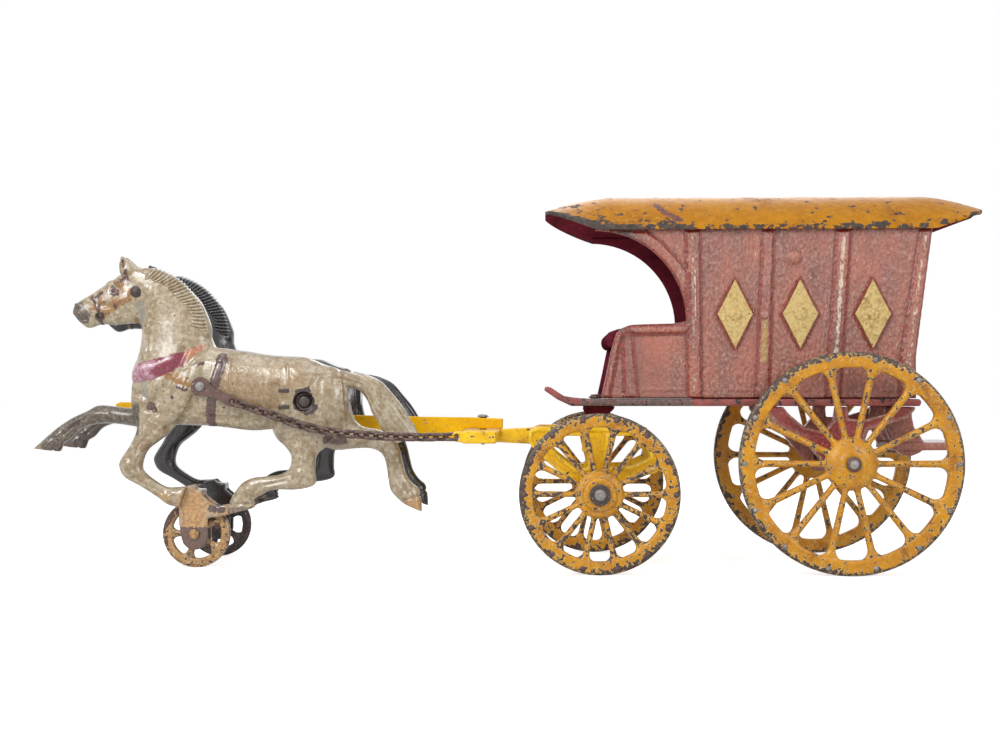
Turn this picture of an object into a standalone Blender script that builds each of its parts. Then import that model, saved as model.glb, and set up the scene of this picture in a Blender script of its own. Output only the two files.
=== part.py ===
# Horse-drawn ice wagon toy in cast iron: a roofed wagon on four spoked wheels, a steering front
# truck with its pole, and two galloping horses that run on a small wheel each.
# Every number in this file is in millimetres, and millimetre turns them into Blender's metres.
# X runs to the rear of the wagon, the horses' noses point along -X, and -Y is the wagon's left.
import math

import bmesh
import bpy
from mathutils import Vector

millimetre = 0.001

# Clearances
seat_gap = 0.3
running_gap = 0.35

# Wagon body
body_floor_top = 69.7
floor_thickness = 2.9
side_outer = 27.0
rib_height = 0.9
wall = 2.0
side_rear_top = 173.6
side_rear_foot = 166.6
side_front_foot = 39.2
rear_bend_height = 87.0
arch_centre_x = 36.9
arch_radius = 36.9
floor_rear = 168.5
footboard_front = 15.9
footboard_rise = 5.0
seat_thickness = 2.6
bed_front = 82.0
bed_rear = 164.0
bed_rise = 0.6

# Roof
roof_front = 16.2
roof_rear = 198.3
roof_half_width = 29.0
roof_ridge = 155.0
roof_rise = 16.4
roof_thickness = 2.0
roof_columns = 12
roof_lip = 1.4
visor_length = 21.3
tail_length = 24.3
visor_lift = 8.4

# The eaves hang from the ridge, and the arch and the driver's seat hang from the eaves
roof_eave = roof_ridge - roof_rise
arch_centre_z = roof_eave - arch_radius - 0.4
seat_side_top = arch_centre_z - 1.3


def roof_levels(v, eave, ridge):
    # Upper and lower height of the roof at a share v of its half width
    top = eave + roof_lip + (ridge - eave - roof_lip) * (1 - v * v)
    low = eave + (top - roof_thickness - eave) * min(1, (1 - v * v) * 3)
    return top, min(low, top - 0.9)


# The sides end just under the roof, inside its eaves
last_column = 1 - 2 / roof_columns
roof_under = roof_levels(last_column, roof_eave, roof_ridge)[1]
eave_share = (roof_half_width - side_outer + rib_height) / (roof_half_width * (1 - last_column))
side_top = roof_eave + (roof_under - roof_eave) * eave_share - seat_gap * 1.4

# Running gear
wheel_plane = 42.0
wheel_thickness = 4.0
rear_wheel_radius = 44.2
rear_wheel_rim = 6.3
rear_hub_radius = 9.5
rear_axle_x = 137.0
rear_axle_radius = 2.2
rear_head_radius = 3.15
front_wheel_radius = 32.0
front_wheel_rim = 5.5
front_hub_radius = 9.0
front_axle_x = 38.0
front_axle_radius = 1.9
washer_radius = 4.3
washer_thickness = 1.0
spoke_count = 14
spoke_width = 2.6
hub_length = 9.0
boss_end = wheel_plane - hub_length / 2 - running_gap
spring_plane = 24.0
spring_thickness = 4.0

# Front truck
kingpin_radius = 2.2
kingpin_head_radius = 3.8
bolster_depth = 3.0
fifth_wheel_top = 58.5
fifth_wheel_thickness = 3.0
fifth_wheel_radius = 15.0
truck_spring_plane = 20.0
truck_spring_thickness = 4.0
crossbar_front = -17.6
crossbar_rear = -2.6
crossbar_half_span = 33.0
crossbar_top = 56.6
crossbar_thickness = 3.4
pole_half_width = 2.6
pole_front = -167.7
pole_front_top = 68.2
pole_rivet_radius = 1.6

# Team
horse_plane = 21.0
horse_half_width = 9.2
team_wheel_radius = 14.0
team_wheel_rim = 3.8
team_wheel_thickness = 3.0
team_axle_x = -127.8
team_axle_radius = 1.3
team_spokes = 5
fork_leg_thickness = 1.8
fork_leg_radius = 5.5
front_pin_x = -145.5
front_pin_z = 65.9
rear_pin_x = -82.0
rear_pin_z = 68.6
pin_radius = 1.8
pin_head_radius = 3.0
strap_width = 5.0
strap_thickness = 1.1
link_width = 4.2
link_wire = 0.64
link_bite = 0.25
link_count = 23
ear_thickness = 1.2


def paint(name, colour, roughness, metallic=0.0):
    finish = bpy.data.materials.new(name)
    finish.use_nodes = True
    shader = finish.node_tree.nodes["Principled BSDF"]
    shader.inputs["Base Color"].default_value = (*colour, 1.0)
    shader.inputs["Roughness"].default_value = roughness
    shader.inputs["Metallic"].default_value = metallic
    return finish


def clear_scene():
    for thing in list(bpy.data.objects):
        bpy.data.objects.remove(thing, do_unlink=True)


def place(name, shape, finish, origin=(0, 0, 0), parent=None):
    # The shape is in millimetres in the object's own frame, and origin is where that frame sits
    bmesh.ops.recalc_face_normals(shape, faces=shape.faces)
    bmesh.ops.scale(shape, vec=(millimetre,) * 3, verts=shape.verts)
    mesh = bpy.data.meshes.new(name)
    shape.to_mesh(mesh)
    shape.free()
    thing = bpy.data.objects.new(name, mesh)
    thing.location = Vector(origin) * millimetre
    bpy.context.collection.objects.link(thing)
    if finish:
        mesh.materials.append(finish)
    if parent:
        thing.parent = parent
        thing.location = Vector(origin) * millimetre - parent.matrix_world.translation
    mesh.shade_smooth()
    mesh.set_sharp_from_angle(angle=math.radians(35))
    return thing


def pivot(name, origin, parent=None):
    empty = bpy.data.objects.new(name, None)
    bpy.context.collection.objects.link(empty)
    empty.empty_display_size = 5 * millimetre
    empty.location = Vector(origin) * millimetre
    if parent:
        empty.parent = parent
        empty.location = Vector(origin) * millimetre - parent.matrix_world.translation
    bpy.context.view_layer.update()
    return empty


def evaluated(thing):
    graph = bpy.context.evaluated_depsgraph_get()
    return bpy.data.meshes.new_from_object(thing.evaluated_get(graph))


def helper(shape):
    # A working object at one unit to the millimetre
    mesh = bpy.data.meshes.new("helper")
    bmesh.ops.recalc_face_normals(shape, faces=shape.faces)
    shape.to_mesh(mesh)
    shape.free()
    thing = bpy.data.objects.new("helper", mesh)
    bpy.context.collection.objects.link(thing)
    return thing


def boolean(base, tools, operation):
    # Applies one Boolean after another and returns the result as a shape
    target = helper(base)
    helpers = [helper(tool) for tool in tools]
    for tool in helpers:
        step = target.modifiers.new("step", "BOOLEAN")
        step.operation = operation
        step.object = tool
        step.solver = "EXACT"
    bpy.context.view_layer.update()
    mesh = evaluated(target)
    result = bmesh.new()
    result.from_mesh(mesh)
    for thing in [target, *helpers]:
        bpy.data.objects.remove(thing, do_unlink=True)
    bpy.data.meshes.remove(mesh)
    return result


def fused(shapes):
    return boolean(shapes[0], shapes[1:], "UNION")


def without(base, cutters):
    return boolean(base, cutters, "DIFFERENCE")


def arc(centre_x, centre_z, radius, start, end, steps):
    angles = [math.radians(start + (end - start) * i / steps) for i in range(steps + 1)]
    return [(centre_x + radius * math.cos(a), centre_z + radius * math.sin(a)) for a in angles]


def slab(outline, y_from, y_to):
    # An outline in the XZ plane, given thickness along Y
    shape = bmesh.new()
    near = [shape.verts.new((x, y_from, z)) for x, z in outline]
    far = [shape.verts.new((x, y_to, z)) for x, z in outline]
    shape.faces.new(near)
    shape.faces.new(far[::-1])
    for i in range(len(outline)):
        j = (i + 1) % len(outline)
        shape.faces.new((near[j], near[i], far[i], far[j]))
    return shape


def box(low, high):
    return slab([(low[0], low[2]), (high[0], low[2]), (high[0], high[2]), (low[0], high[2])],
                low[1], high[1])


def turned(profile, steps, centre=(0, 0, 0), axis="Y"):
    # Turns a closed profile of (radius, height) points about an axis through the centre
    shape = bmesh.new()
    rings = []
    for radius, height in profile:
        if radius == 0:
            rings.append([shape.verts.new((0, height, 0))] * steps)
            continue
        angles = [2 * math.pi * i / steps for i in range(steps)]
        rings.append([shape.verts.new((radius * math.cos(a), height, radius * math.sin(a)))
                      for a in angles])
    closed = profile[0][0] > 0
    for k in range(len(rings) if closed else len(rings) - 1):
        low, high = rings[k], rings[(k + 1) % len(rings)]
        for i in range(steps):
            j = (i + 1) % steps
            corners = list(dict.fromkeys((low[i], low[j], high[j], high[i])))
            if len(corners) > 2:
                shape.faces.new(corners)
    for vert in shape.verts:
        x, y, z = vert.co
        if axis == "Z":
            x, y, z = x, -z, y
        vert.co = (x + centre[0], y + centre[1], z + centre[2])
    return shape


def rod(radius, low, high, steps=16, centre=(0, 0, 0), axis="Y"):
    return turned([(0, low), (radius, low), (radius, high), (0, high)], steps, centre, axis)


def joined(shapes):
    whole = bmesh.new()
    for shape in shapes:
        copies = {vert: whole.verts.new(vert.co) for vert in shape.verts}
        for face in shape.faces:
            whole.faces.new([copies[vert] for vert in face.verts])
        shape.free()
    return whole


def pierced(outer, holes, half_thickness):
    # A flat plate in the XZ plane with holes through it, centred on y = 0
    cutters = [slab(hole, -half_thickness - 1, half_thickness + 1) for hole in holes]
    return without(slab(outer, -half_thickness, half_thickness), [joined(cutters)])


def moved(shape, offset):
    bmesh.ops.translate(shape, vec=offset, verts=shape.verts)
    return shape


def mirrored(shape):
    # The same shape on the other side of the wagon
    for vert in shape.verts:
        vert.co.y = -vert.co.y
    bmesh.ops.reverse_faces(shape, faces=shape.faces)
    return shape


def window(rim_inner, hub_outer, turn, count, width):
    # One opening between two spokes: straight along the spokes, round at the rim and the hub
    half_step = math.pi / count
    points = []
    outer_spread = half_step - width * 0.5 / rim_inner
    inner_spread = half_step - width * 0.62 / hub_outer
    corner = 2.6 * outer_spread / half_step
    for radius, spread, order in ((rim_inner, outer_spread, 1), (hub_outer, inner_spread, -1)):
        inset = corner if order > 0 else -0.6 * spread * radius
        steps = 3 if order > 0 else 1
        low = [(radius - inset, -spread)]
        arc_low = spread - abs(inset) * 0.75 / radius
        low += [(radius, -arc_low + 2 * arc_low * i / steps) for i in range(steps + 1)]
        low.append((radius - inset, spread))
        points += low if order > 0 else low[::-1]
    return [(r * math.cos(turn + a), r * math.sin(turn + a)) for r, a in points]


def wheel_shape(radius, rim, thickness, hub, hub_half, bore, count, width, rim_steps, first=0.0):
    rim_inner = radius - rim
    step = 2 * math.pi / count
    outer = [(radius * math.cos(a), radius * math.sin(a))
             for a in (2 * math.pi * i / rim_steps for i in range(rim_steps))]
    holes = [window(rim_inner, hub + 1.2, first + step * (i + 0.5), count, width)
             for i in range(count)]
    plate = pierced(outer, holes, thickness / 2)
    dome = [(bore, -hub_half), (hub * 0.55, -hub_half), (hub, -thickness / 2 - 0.4),
            (hub, thickness / 2 + 0.4), (hub * 0.55, hub_half), (bore, hub_half)]
    passage = rod(bore, -hub_half - 1, hub_half + 1, 12)
    return without(fused([plate, turned([(0, -hub_half)] + dome[1:5] + [(0, hub_half)], 20)]),
                   [passage])


def seat_level(share):
    # Height at a share of the way from the floor to the top of the seat's sides
    return body_floor_top + share * (seat_side_top - body_floor_top)


def side_outline(top):
    arch = arc(arch_centre_x, arch_centre_z, arch_radius, 0, 90, 9)
    seat = [(side_front_foot, body_floor_top + seat_gap), (41.4, seat_level(0.34)),
            (43.9, seat_level(0.73)), (45.8, seat_level(0.9)), (48.9, seat_level(0.967)),
            (53.3, seat_side_top), (68.1, seat_side_top + 0.4)]
    return (seat + arch + [(arch_centre_x, top), (side_rear_top, top),
            (side_rear_foot, rear_bend_height), (side_rear_foot, body_floor_top + seat_gap)])


def rear_edge(z):
    # Where the slanted rear edge of a side lies at a given height
    share = (z - rear_bend_height) / (side_top - rear_bend_height)
    return side_rear_foot + max(share, 0) * (side_rear_top - side_rear_foot)


rib_low = body_floor_top + 0.6
rib_high = roof_eave - 0.6
rib_places = ((74.6, 79.8, 73.9, 79.3), (102.0, 107.0, 105.2, 109.3), (130.4, 135.6, 135.0, 140.4))
ornament_places = (93.5, 119.8, 149.0)
ornament_height = (body_floor_top + roof_eave) / 2
tie_x = 105.5
tie_z = ornament_height - 0.2
tie_radius = 1.6
tie_head_radius = 2.2
boss_place = (117.5, rib_high - 10.6)


def side_shape():
    # The left side: a flat wall with raised ribs, a rounded frame round the arch and seat panel
    inner = side_outer - rib_height - wall
    outer = side_outer - rib_height
    skin = slab(side_outline(side_top), -outer, -inner)
    raised = []
    for low_a, low_b, high_a, high_b in rib_places:
        raised.append([(low_a, rib_low), (low_b, rib_low), (high_b, rib_high), (high_a, rib_high)])
    raised.append([(160.0, rib_low), (side_rear_foot - 0.3, rib_low),
                   (side_rear_foot - 0.3, rear_bend_height), (rear_edge(rib_high) - 0.3, rib_high),
                   (168.4, rib_high), (160.6, rear_bend_height)])
    raised.append([(39.9, rib_low), (42.4, rib_low), (46.9, seat_level(0.77)),
                   (48.4, seat_level(0.894)), (45.9, seat_level(0.861)),
                   (43.9, seat_level(0.686))])
    crest = seat_side_top
    raised.append([(49.0, rib_low), (54.0, rib_low), (51.4, crest - 3.0), (48.0, crest - 2.9)])
    raised.append([(47.6, crest - 4.1), (74.8, crest - 3.4), (74.8, crest - 0.2),
                   (53.5, crest - 0.6), (49.0, crest - 1.6), (47.0, crest - 2.8)])
    band = arc(arch_centre_x, arch_centre_z, arch_radius + 0.3, 3, 82, 9)
    band += [(58.0, rib_high - 0.4), (63.5, arch_centre_z + 32.2), (67.8, arch_centre_z + 27.9),
             (71.1, arch_centre_z + 23.9), (74.6, arch_centre_z + 19.1),
             (74.9, arch_centre_z + 1.3)]
    raised.append(band)
    strips = [slab(points, -side_outer, -outer + 0.5) for points in raised]
    boss = turned([(0, -side_outer - 0.5), (1.6, -side_outer - 0.4), (3.0, -outer),
                   (3.0, -outer + 0.5), (0, -outer + 0.5)], 12, (boss_place[0], 0, boss_place[1]))
    whole = fused([skin, *strips, boss])
    hole = rod(tie_radius + seat_gap, -side_outer - 2, -inner + 2, 12, (tie_x, 0, tie_z))
    return without(whole, [hole])


def roof_station(x):
    # Half width, eave height and ridge height of the roof at a place along the wagon
    front = min(max((x - roof_front) / visor_length, 0.0), 1.0)
    rear = min(max((roof_rear - x) / tail_length, 0.0), 1.0)
    share = min(front, rear)
    half = roof_half_width * (1 - (1 - share) ** 2.6) ** (1 / 2.6)
    eave = roof_eave + visor_lift * (1 - share) ** 1.1
    rise = min((x - roof_front) / (visor_length + 6.5), (roof_rear - x) / tail_length, 1.0)
    ridge = roof_ridge - (roof_ridge - roof_eave - visor_lift - roof_thickness) * (1 - rise) ** 1.5
    return half, eave, ridge


def roof_shape():
    shape = bmesh.new()
    shares = (0.012, 0.06, 0.18, 0.38, 0.66, 1.0)
    stations = [roof_front + visor_length * s for s in shares]
    stations += [roof_front + visor_length + 6.5]
    stations += [roof_rear - tail_length * s for s in shares[::-1]]
    columns = roof_columns
    grids = []
    for level in (0, 1):
        rows = []
        for x in stations:
            half, eave, ridge = roof_station(x)
            row = []
            for j in range(columns + 1):
                v = -1 + 2 * j / columns
                row.append(shape.verts.new((x, half * v, roof_levels(v, eave, ridge)[level])))
            rows.append(row)
        grids.append(rows)
    upper, lower = grids
    count = len(stations)
    for i in range(count - 1):
        for j in range(columns):
            shape.faces.new((upper[i][j], upper[i + 1][j], upper[i + 1][j + 1], upper[i][j + 1]))
            shape.faces.new((lower[i][j], lower[i][j + 1], lower[i + 1][j + 1], lower[i + 1][j]))
    for j in range(columns):
        shape.faces.new((upper[0][j], upper[0][j + 1], lower[0][j + 1], lower[0][j]))
        shape.faces.new((upper[-1][j], lower[-1][j], lower[-1][j + 1], upper[-1][j + 1]))
    for i in range(count - 1):
        shape.faces.new((upper[i][0], lower[i][0], lower[i + 1][0], upper[i + 1][0]))
        shape.faces.new((upper[i][-1], upper[i + 1][-1], lower[i + 1][-1], lower[i][-1]))
    return shape


def floor_shape():
    # The floor with its footboard, and a low raised bed between the sides for the load
    under = body_floor_top - floor_thickness
    toe = body_floor_top + footboard_rise
    outline = [(footboard_front, toe - 1.4), (footboard_front + 0.6, toe), (18.4, toe - 0.1),
               (24.0, body_floor_top + 1.2), (29.0, body_floor_top + 0.4), (35.0, body_floor_top),
               (floor_rear - 0.8, body_floor_top), (floor_rear, body_floor_top - 1.2),
               (floor_rear - 0.6, under), (27.1, under), (21.5, under + 2.6)]
    half = side_outer + 0.3
    bed_half = side_outer - rib_height - wall - 2 * seat_gap
    bed = box((bed_front, -bed_half, under + 1), (bed_rear, bed_half, body_floor_top + bed_rise))
    plate = fused([slab(outline, -half, half), bed])
    bore = rod(kingpin_radius + seat_gap, under - 2, body_floor_top + 3, 16,
               (front_axle_x, 0, 0), "Z")
    return without(plate, [bore])


def seat_shape():
    # The driver's seat with its rolled front edge, between the two sides
    inner = side_outer - rib_height - wall - seat_gap
    top = seat_side_top - 1.6
    low = top - seat_thickness
    front = arc(44.6, top - 4.4, 3.6, 250, 100, 6)
    outline = front + [(46.6, top), (78.0, top), (78.0, low), (48.2, low), (47.2, low - 3.2)]
    return slab(outline, -inner, inner)


def ornament_shape(face):
    # A gilt lozenge with a round boss and two small points, one of three on a side
    lozenge = slab([(0, -14), (5.2, -3.6), (7.2, 0), (5.2, 3.6), (0, 14), (-5.2, 3.6), (-7.2, 0),
                    (-5.2, -3.6)], -face - 1.5, -face)
    boss = turned([(0, -face - 2.3), (2.2, -face - 2.0), (3.2, -face - 1.0), (0, -face - 1.0)], 12)
    return fused([lozenge, boss])


def spring_shape():
    # A rear spring: front arm, rear arm and middle lug under the floor, round boss at the axle
    top = body_floor_top - floor_thickness - seat_gap
    x, z = rear_axle_x, rear_wheel_radius
    boss = arc(x, z, 6.4, 208, 332, 7)
    outline = [(106.3, top), (106.3, 65.0), (110.9, 58.7), (121.5, 53.2), (126.2, 47.4), *boss,
               (145.0, 50.0), (147.5, 57.0), (163.0, 61.7), (166.3, 65.6), (166.3, top),
               (160.0, top), (157.0, 64.6), (147.0, 61.5), (139.6, 61.6), (139.2, top),
               (134.2, top), (133.4, 61.0), (129.6, 56.4), (121.5, 58.4), (115.6, 63.4),
               (113.0, top)]
    inner = spring_plane - spring_thickness / 2
    plate = slab(outline, -inner - spring_thickness, -inner)
    hub = turned([(0, -boss_end), (4.4, -boss_end), (6.2, -inner - 1), (0, -inner - 1)], 16,
                 (x, 0, z))
    bore = rod(rear_axle_radius + seat_gap, -boss_end - 2, -inner + 4, 16, (x, 0, z))
    return without(fused([plate, hub]), [bore])


def step_shape():
    # The tail step: two curved hangers and the tread between and behind them
    top = body_floor_top - floor_thickness - seat_gap
    hanger = [(157.0, top), (156.2, 62.0), (157.0, 57.0), (160.5, 49.0), (163.5, 46.6),
              (167.0, 46.0), (171.0, 47.6), (172.6, 51.4), (170.6, 55.0), (168.4, 58.0),
              (167.6, 62.0), (167.2, top)]
    plates = [slab(hanger, y - 1.6, y + 1.6) for y in (-14.0, 14.0)]
    tread = slab([(160.0, 48.4), (187.0, 48.6), (187.7, 49.4), (187.0, 52.0), (160.0, 51.4)],
                 -17.0, 17.0)
    return fused([plates[0], tread, plates[1]])


def bolster_shape():
    top = body_floor_top - floor_thickness - seat_gap
    low = fifth_wheel_top + seat_gap
    block = slab([(32.8, top), (45.7, top), (45.2, top - 1.2), (43.4, top - bolster_depth),
                  (33.4, top - bolster_depth), (32.6, top - 1.2)], -9.0, 9.0)
    post = rod(4.4, low, top - 0.5, 20, (front_axle_x, 0, 0), "Z")
    bore = rod(kingpin_radius + seat_gap, low - 2, top + 2, 16, (front_axle_x, 0, 0), "Z")
    return without(fused([block, post]), [bore])


chain_route = [(-110.9, 31.7, 68.7), (-99.2, 33.0, 65.0), (-91.1, 33.2, 62.0), (-82.9, 33.2, 59.2),
               (-74.8, 33.2, 57.2), (-66.6, 33.2, 55.9), (-50.4, 33.2, 54.6), (-34.1, 32.6, 54.2),
               (crossbar_front - 1.6, 31.6, 54.4)]


def truck_shape():
    x, z = front_axle_x, front_wheel_radius
    plate_low = fifth_wheel_top - fifth_wheel_thickness
    outer = [(x - 28.5, 52.5), (x - 26.8, 49.6), (x - 21.0, 44.0), (x - 13.0, 37.2), (x - 8.0, 33.5),
             *arc(x, z, 6.2, 200, 340, 6), (x + 9.0, 33.6), (x + 14.0, 36.6), (x + 24.0, 39.4),
             (x + 28.2, 43.0), (x + 27.6, 48.6), (x + 22.2, 52.0), (x + 20.0, fifth_wheel_top - 0.4),
             (x - 9.0, fifth_wheel_top - 0.4), (x - 24.0, fifth_wheel_top - 0.2),
             (x - 28.0, 56.8)]
    left = [(x - 20.8, 50.6), (x - 17.4, 52.4), (x - 13.0, plate_low - 1), (x - 4.6, plate_low - 1),
            (x - 4.0, 41.4), (x - 8.6, 40.6), (x - 15.0, 45.6)]
    right = [(x + 4.0, 41.4), (x + 4.6, plate_low - 1), (x + 15.6, plate_low - 1),
             (x + 20.4, 48.8), (x + 21.6, 45.6), (x + 14.0, 42.0)]
    frame_plates = []
    for side in (-1, 1):
        plate = pierced(outer, [left, right], truck_spring_thickness / 2)
        moved(plate, (0, side * truck_spring_plane, 0))
        boss = turned([(0, -boss_end), (3.8, -boss_end), (5.2, 1 - truck_spring_plane),
                       (0, 1 - truck_spring_plane)], 16, (x, 0, z))
        frame_plates += [plate, boss if side < 0 else mirrored(boss)]
    ring = rod(fifth_wheel_radius, plate_low, fifth_wheel_top, 28, (x, 0, 0), "Z")
    cross = box((x - 7.0, -truck_spring_plane, plate_low + 0.3),
                (x + 7.0, truck_spring_plane, fifth_wheel_top - 0.3))
    hub = rod(6.0, 47.0, plate_low + 0.5, 16, (x, 0, 0), "Z")
    tongue = slab([(x + 2, 55.8), (x + 2, 58.0), (13.4, 57.6), (crossbar_rear - 4, crossbar_top),
                   (crossbar_rear - 4, crossbar_top - crossbar_thickness - 1.8), (13.0, 50.4),
                   (22.0, 54.4)], -4.4, 4.4)
    middle = (crossbar_front + crossbar_rear) / 2
    bar = bmesh.new()
    rows = []
    tip = crossbar_half_span
    for y, reach, depth in ((-tip, 0.9, 5.0), (-8.0, 1.0, crossbar_thickness),
                            (8.0, 1.0, crossbar_thickness), (tip, 0.9, 5.0)):
        half = (crossbar_rear - crossbar_front) / 2 * reach
        low = crossbar_top - depth
        rows.append([bar.verts.new((middle - half, y, low)), bar.verts.new((middle + half, y, low)),
                     bar.verts.new((middle + half, y, crossbar_top)),
                     bar.verts.new((middle - half, y, crossbar_top))])
    for a, b in zip(rows, rows[1:]):
        for i in range(4):
            j = (i + 1) % 4
            bar.faces.new((a[i], a[j], b[j], b[i]))
    bar.faces.new(rows[0][::-1])
    bar.faces.new(rows[-1])
    bmesh.ops.recalc_face_normals(bar, faces=bar.faces)
    eye_x, eye_y, eye_z = chain_route[-1]
    ears = []
    for side in (-1, 1):
        low = side * eye_y - ear_thickness / 2
        ears.append(slab([*arc(eye_x, eye_z, 2.2, 90, 270, 6), (crossbar_front + 4, eye_z - 2.2),
                          (crossbar_front + 4, eye_z + 1.6)], low, low + ear_thickness))
    whole = fused([ring, cross, hub, tongue, bar, *ears, *frame_plates])
    king_bore = rod(kingpin_radius + running_gap, 40, 64, 18, (x, 0, 0), "Z")
    axle_bore = rod(front_axle_radius + seat_gap, -boss_end - 2, boss_end + 2, 18, (x, 0, z))
    rivet_bore = rod(pole_rivet_radius + seat_gap, 45, 60, 12, (middle, 0, 0), "Z")
    eye_bore = rod(link_wire + 0.6, -tip - 2, tip + 2, 10, (eye_x, 0, eye_z))
    return without(whole, [king_bore, axle_bore, rivet_bore, eye_bore])


def pole_shape():
    lap = crossbar_top + seat_gap
    nose = crossbar_front - seat_gap
    outline = [(crossbar_rear + 1.0, lap), (crossbar_rear + 1.0, lap + 4.3), (-16.0, lap + 4.9),
               (-37.0, 62.0), (-80.0, 63.0), (-140.0, 67.6), (pole_front + 2, pole_front_top),
               (pole_front, pole_front_top - 1), (pole_front + 1, pole_front_top - 2.6),
               (-142.0, 62.4), (-90.0, 55.6), (-37.0, 53.0), (nose, 53.0), (nose, lap)]
    beam = slab(outline, -pole_half_width, pole_half_width)
    lugs = [turned([(0, -pole_half_width), (3.6, -pole_half_width), (3.6, pole_half_width),
                    (0, pole_half_width)], 14, (x, 0, z))
            for x, z in ((front_pin_x, front_pin_z), (rear_pin_x, rear_pin_z))]
    lugs.append(slab([(rear_pin_x - 3.4, 60.0), (rear_pin_x + 3.4, 60.0),
                      (rear_pin_x + 3.4, rear_pin_z), (rear_pin_x - 3.4, rear_pin_z)],
                     -pole_half_width, pole_half_width))
    middle = (crossbar_front + crossbar_rear) / 2
    bores = [rod(pin_radius + seat_gap, -9, 9, 12, (x, 0, z))
             for x, z in ((front_pin_x, front_pin_z), (rear_pin_x, rear_pin_z))]
    bores.append(rod(pole_rivet_radius + seat_gap, 50, 66, 12, (middle, 0, 0), "Z"))
    return without(fused([beam, *lugs]), bores)


# The horse, seen from its outer side. A station is a section through a limb: two points on the
# outline, half the thickness, and how far the section's middle stands out from the horse's plane
torso = [((-154.0, 78.6), (-154.6, 66.0), 4.4, 0), ((-151.0, 84.0), (-152.0, 60.5), 7.2, 0),
         ((-143.0, 89.0), (-143.5, 58.9), 8.8, 0), ((-132.0, 91.6), (-132.5, 58.8), 9.2, 0),
         ((-118.5, 91.0), (-119.3, 58.2), 9.2, 0), ((-105.0, 88.9), (-105.0, 56.5), 9.2, 0),
         ((-93.8, 87.6), (-94.5, 57.0), 9.2, 0), ((-82.5, 86.9), (-84.0, 55.0), 9.2, 0),
         ((-75.0, 84.1), (-76.0, 52.0), 8.8, 0), ((-69.0, 82.0), (-69.0, 54.0), 7.8, 0),
         ((-64.6, 77.5), (-64.8, 62.0), 4.6, 0)]
neck = [((-153.0, 72.0), (-117.0, 84.0), 8.4, 0), ((-155.2, 79.4), (-120.4, 92.2), 8.3, 0),
        ((-152.6, 87.0), (-121.6, 95.5), 7.6, 0), ((-151.6, 91.0), (-121.6, 99.0), 7.0, 0),
        ((-151.2, 95.5), (-123.4, 104.5), 6.5, 0), ((-151.2, 99.5), (-126.2, 110.0), 6.0, 0),
        ((-153.5, 104.5), (-131.0, 115.0), 5.6, 0), ((-155.5, 109.5), (-136.8, 119.8), 5.3, 0),
        ((-157.5, 114.0), (-142.6, 122.4), 5.0, 0), ((-159.0, 119.0), (-149.0, 124.2), 4.4, 0)]
head = [((-151.5, 124.6), (-149.5, 108.5), 4.2, 0), ((-157.8, 122.8), (-151.2, 101.6), 4.9, 0),
        ((-163.0, 119.2), (-156.4, 100.9), 4.7, 0), ((-168.0, 116.0), (-162.4, 100.4), 4.3, 0),
        ((-172.4, 113.0), (-168.0, 100.5), 3.8, 0), ((-176.4, 110.8), (-171.2, 99.4), 3.5, 0),
        ((-179.2, 108.4), (-173.8, 99.2), 3.2, 0), ((-180.1, 105.6), (-176.6, 101.4), 2.2, 0)]
ear = [((-160.0, 121.0), (-151.0, 122.5), 1.9, 2.6), ((-160.2, 125.0), (-153.6, 126.2), 1.5, 2.8),
       ((-159.3, 128.8), (-157.8, 128.8), 0.8, 2.6)]
tail = [((-72.0, 82.6), (-69.0, 74.0), 3.4, 0), ((-64.7, 80.9), (-63.8, 74.4), 3.2, 0),
        ((-60.0, 80.1), (-61.8, 73.9), 3.0, 0), ((-55.0, 78.75), (-59.0, 71.8), 3.0, 0),
        ((-50.6, 76.4), (-56.6, 68.2), 3.0, 0), ((-46.4, 71.6), (-55.2, 64.0), 2.9, 0),
        ((-42.4, 66.7), (-52.8, 60.2), 2.8, 0), ((-39.1, 61.25), (-50.5, 56.0), 2.6, 0),
        ((-35.3, 54.7), (-45.0, 51.0), 2.0, 0)]
reaching_foreleg = [((-148.0, 68.0), (-148.0, 57.0), 4.2, -3.4), ((-157.0, 66.0), (-156.0, 58.2), 4.0, -4.4),
                    ((-163.0, 66.5), (-163.0, 59.2), 3.6, -4.8), ((-170.4, 67.0), (-169.6, 59.3), 3.4, -4.8),
                    ((-175.4, 64.6), (-174.0, 58.5), 3.1, -4.8), ((-181.4, 61.8), (-178.8, 56.6), 2.7, -4.8),
                    ((-187.1, 58.2), (-182.2, 52.9), 2.6, -4.8), ((-190.8, 55.2), (-185.0, 51.3), 2.8, -4.8),
                    ((-194.3, 52.1), (-185.4, 50.2), 3.2, -4.8), ((-198.7, 48.9), (-186.4, 47.5), 3.3, -4.8)]
folded_foreleg = [((-154.0, 72.0), (-137.0, 72.0), 6.0, 2.2), ((-152.8, 63.0), (-135.0, 61.0), 5.2, 3.4),
                  ((-151.8, 57.0), (-138.6, 55.4), 4.6, 4.2), ((-154.3, 50.7), (-142.8, 52.0), 4.2, 4.8),
                  ((-157.3, 46.0), (-147.0, 48.4), 3.9, 5.2), ((-158.8, 42.4), (-148.9, 42.6), 3.6, 5.2),
                  ((-156.6, 37.6), (-147.9, 39.6), 3.2, 5.2), ((-150.0, 33.8), (-144.6, 36.8), 2.8, 5.2),
                  ((-142.9, 29.3), (-139.3, 33.7), 2.6, 5.2), ((-138.6, 26.2), (-135.6, 33.5), 2.9, 5.2),
                  ((-133.6, 25.0), (-130.6, 33.9), 3.0, 5.2)]
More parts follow.
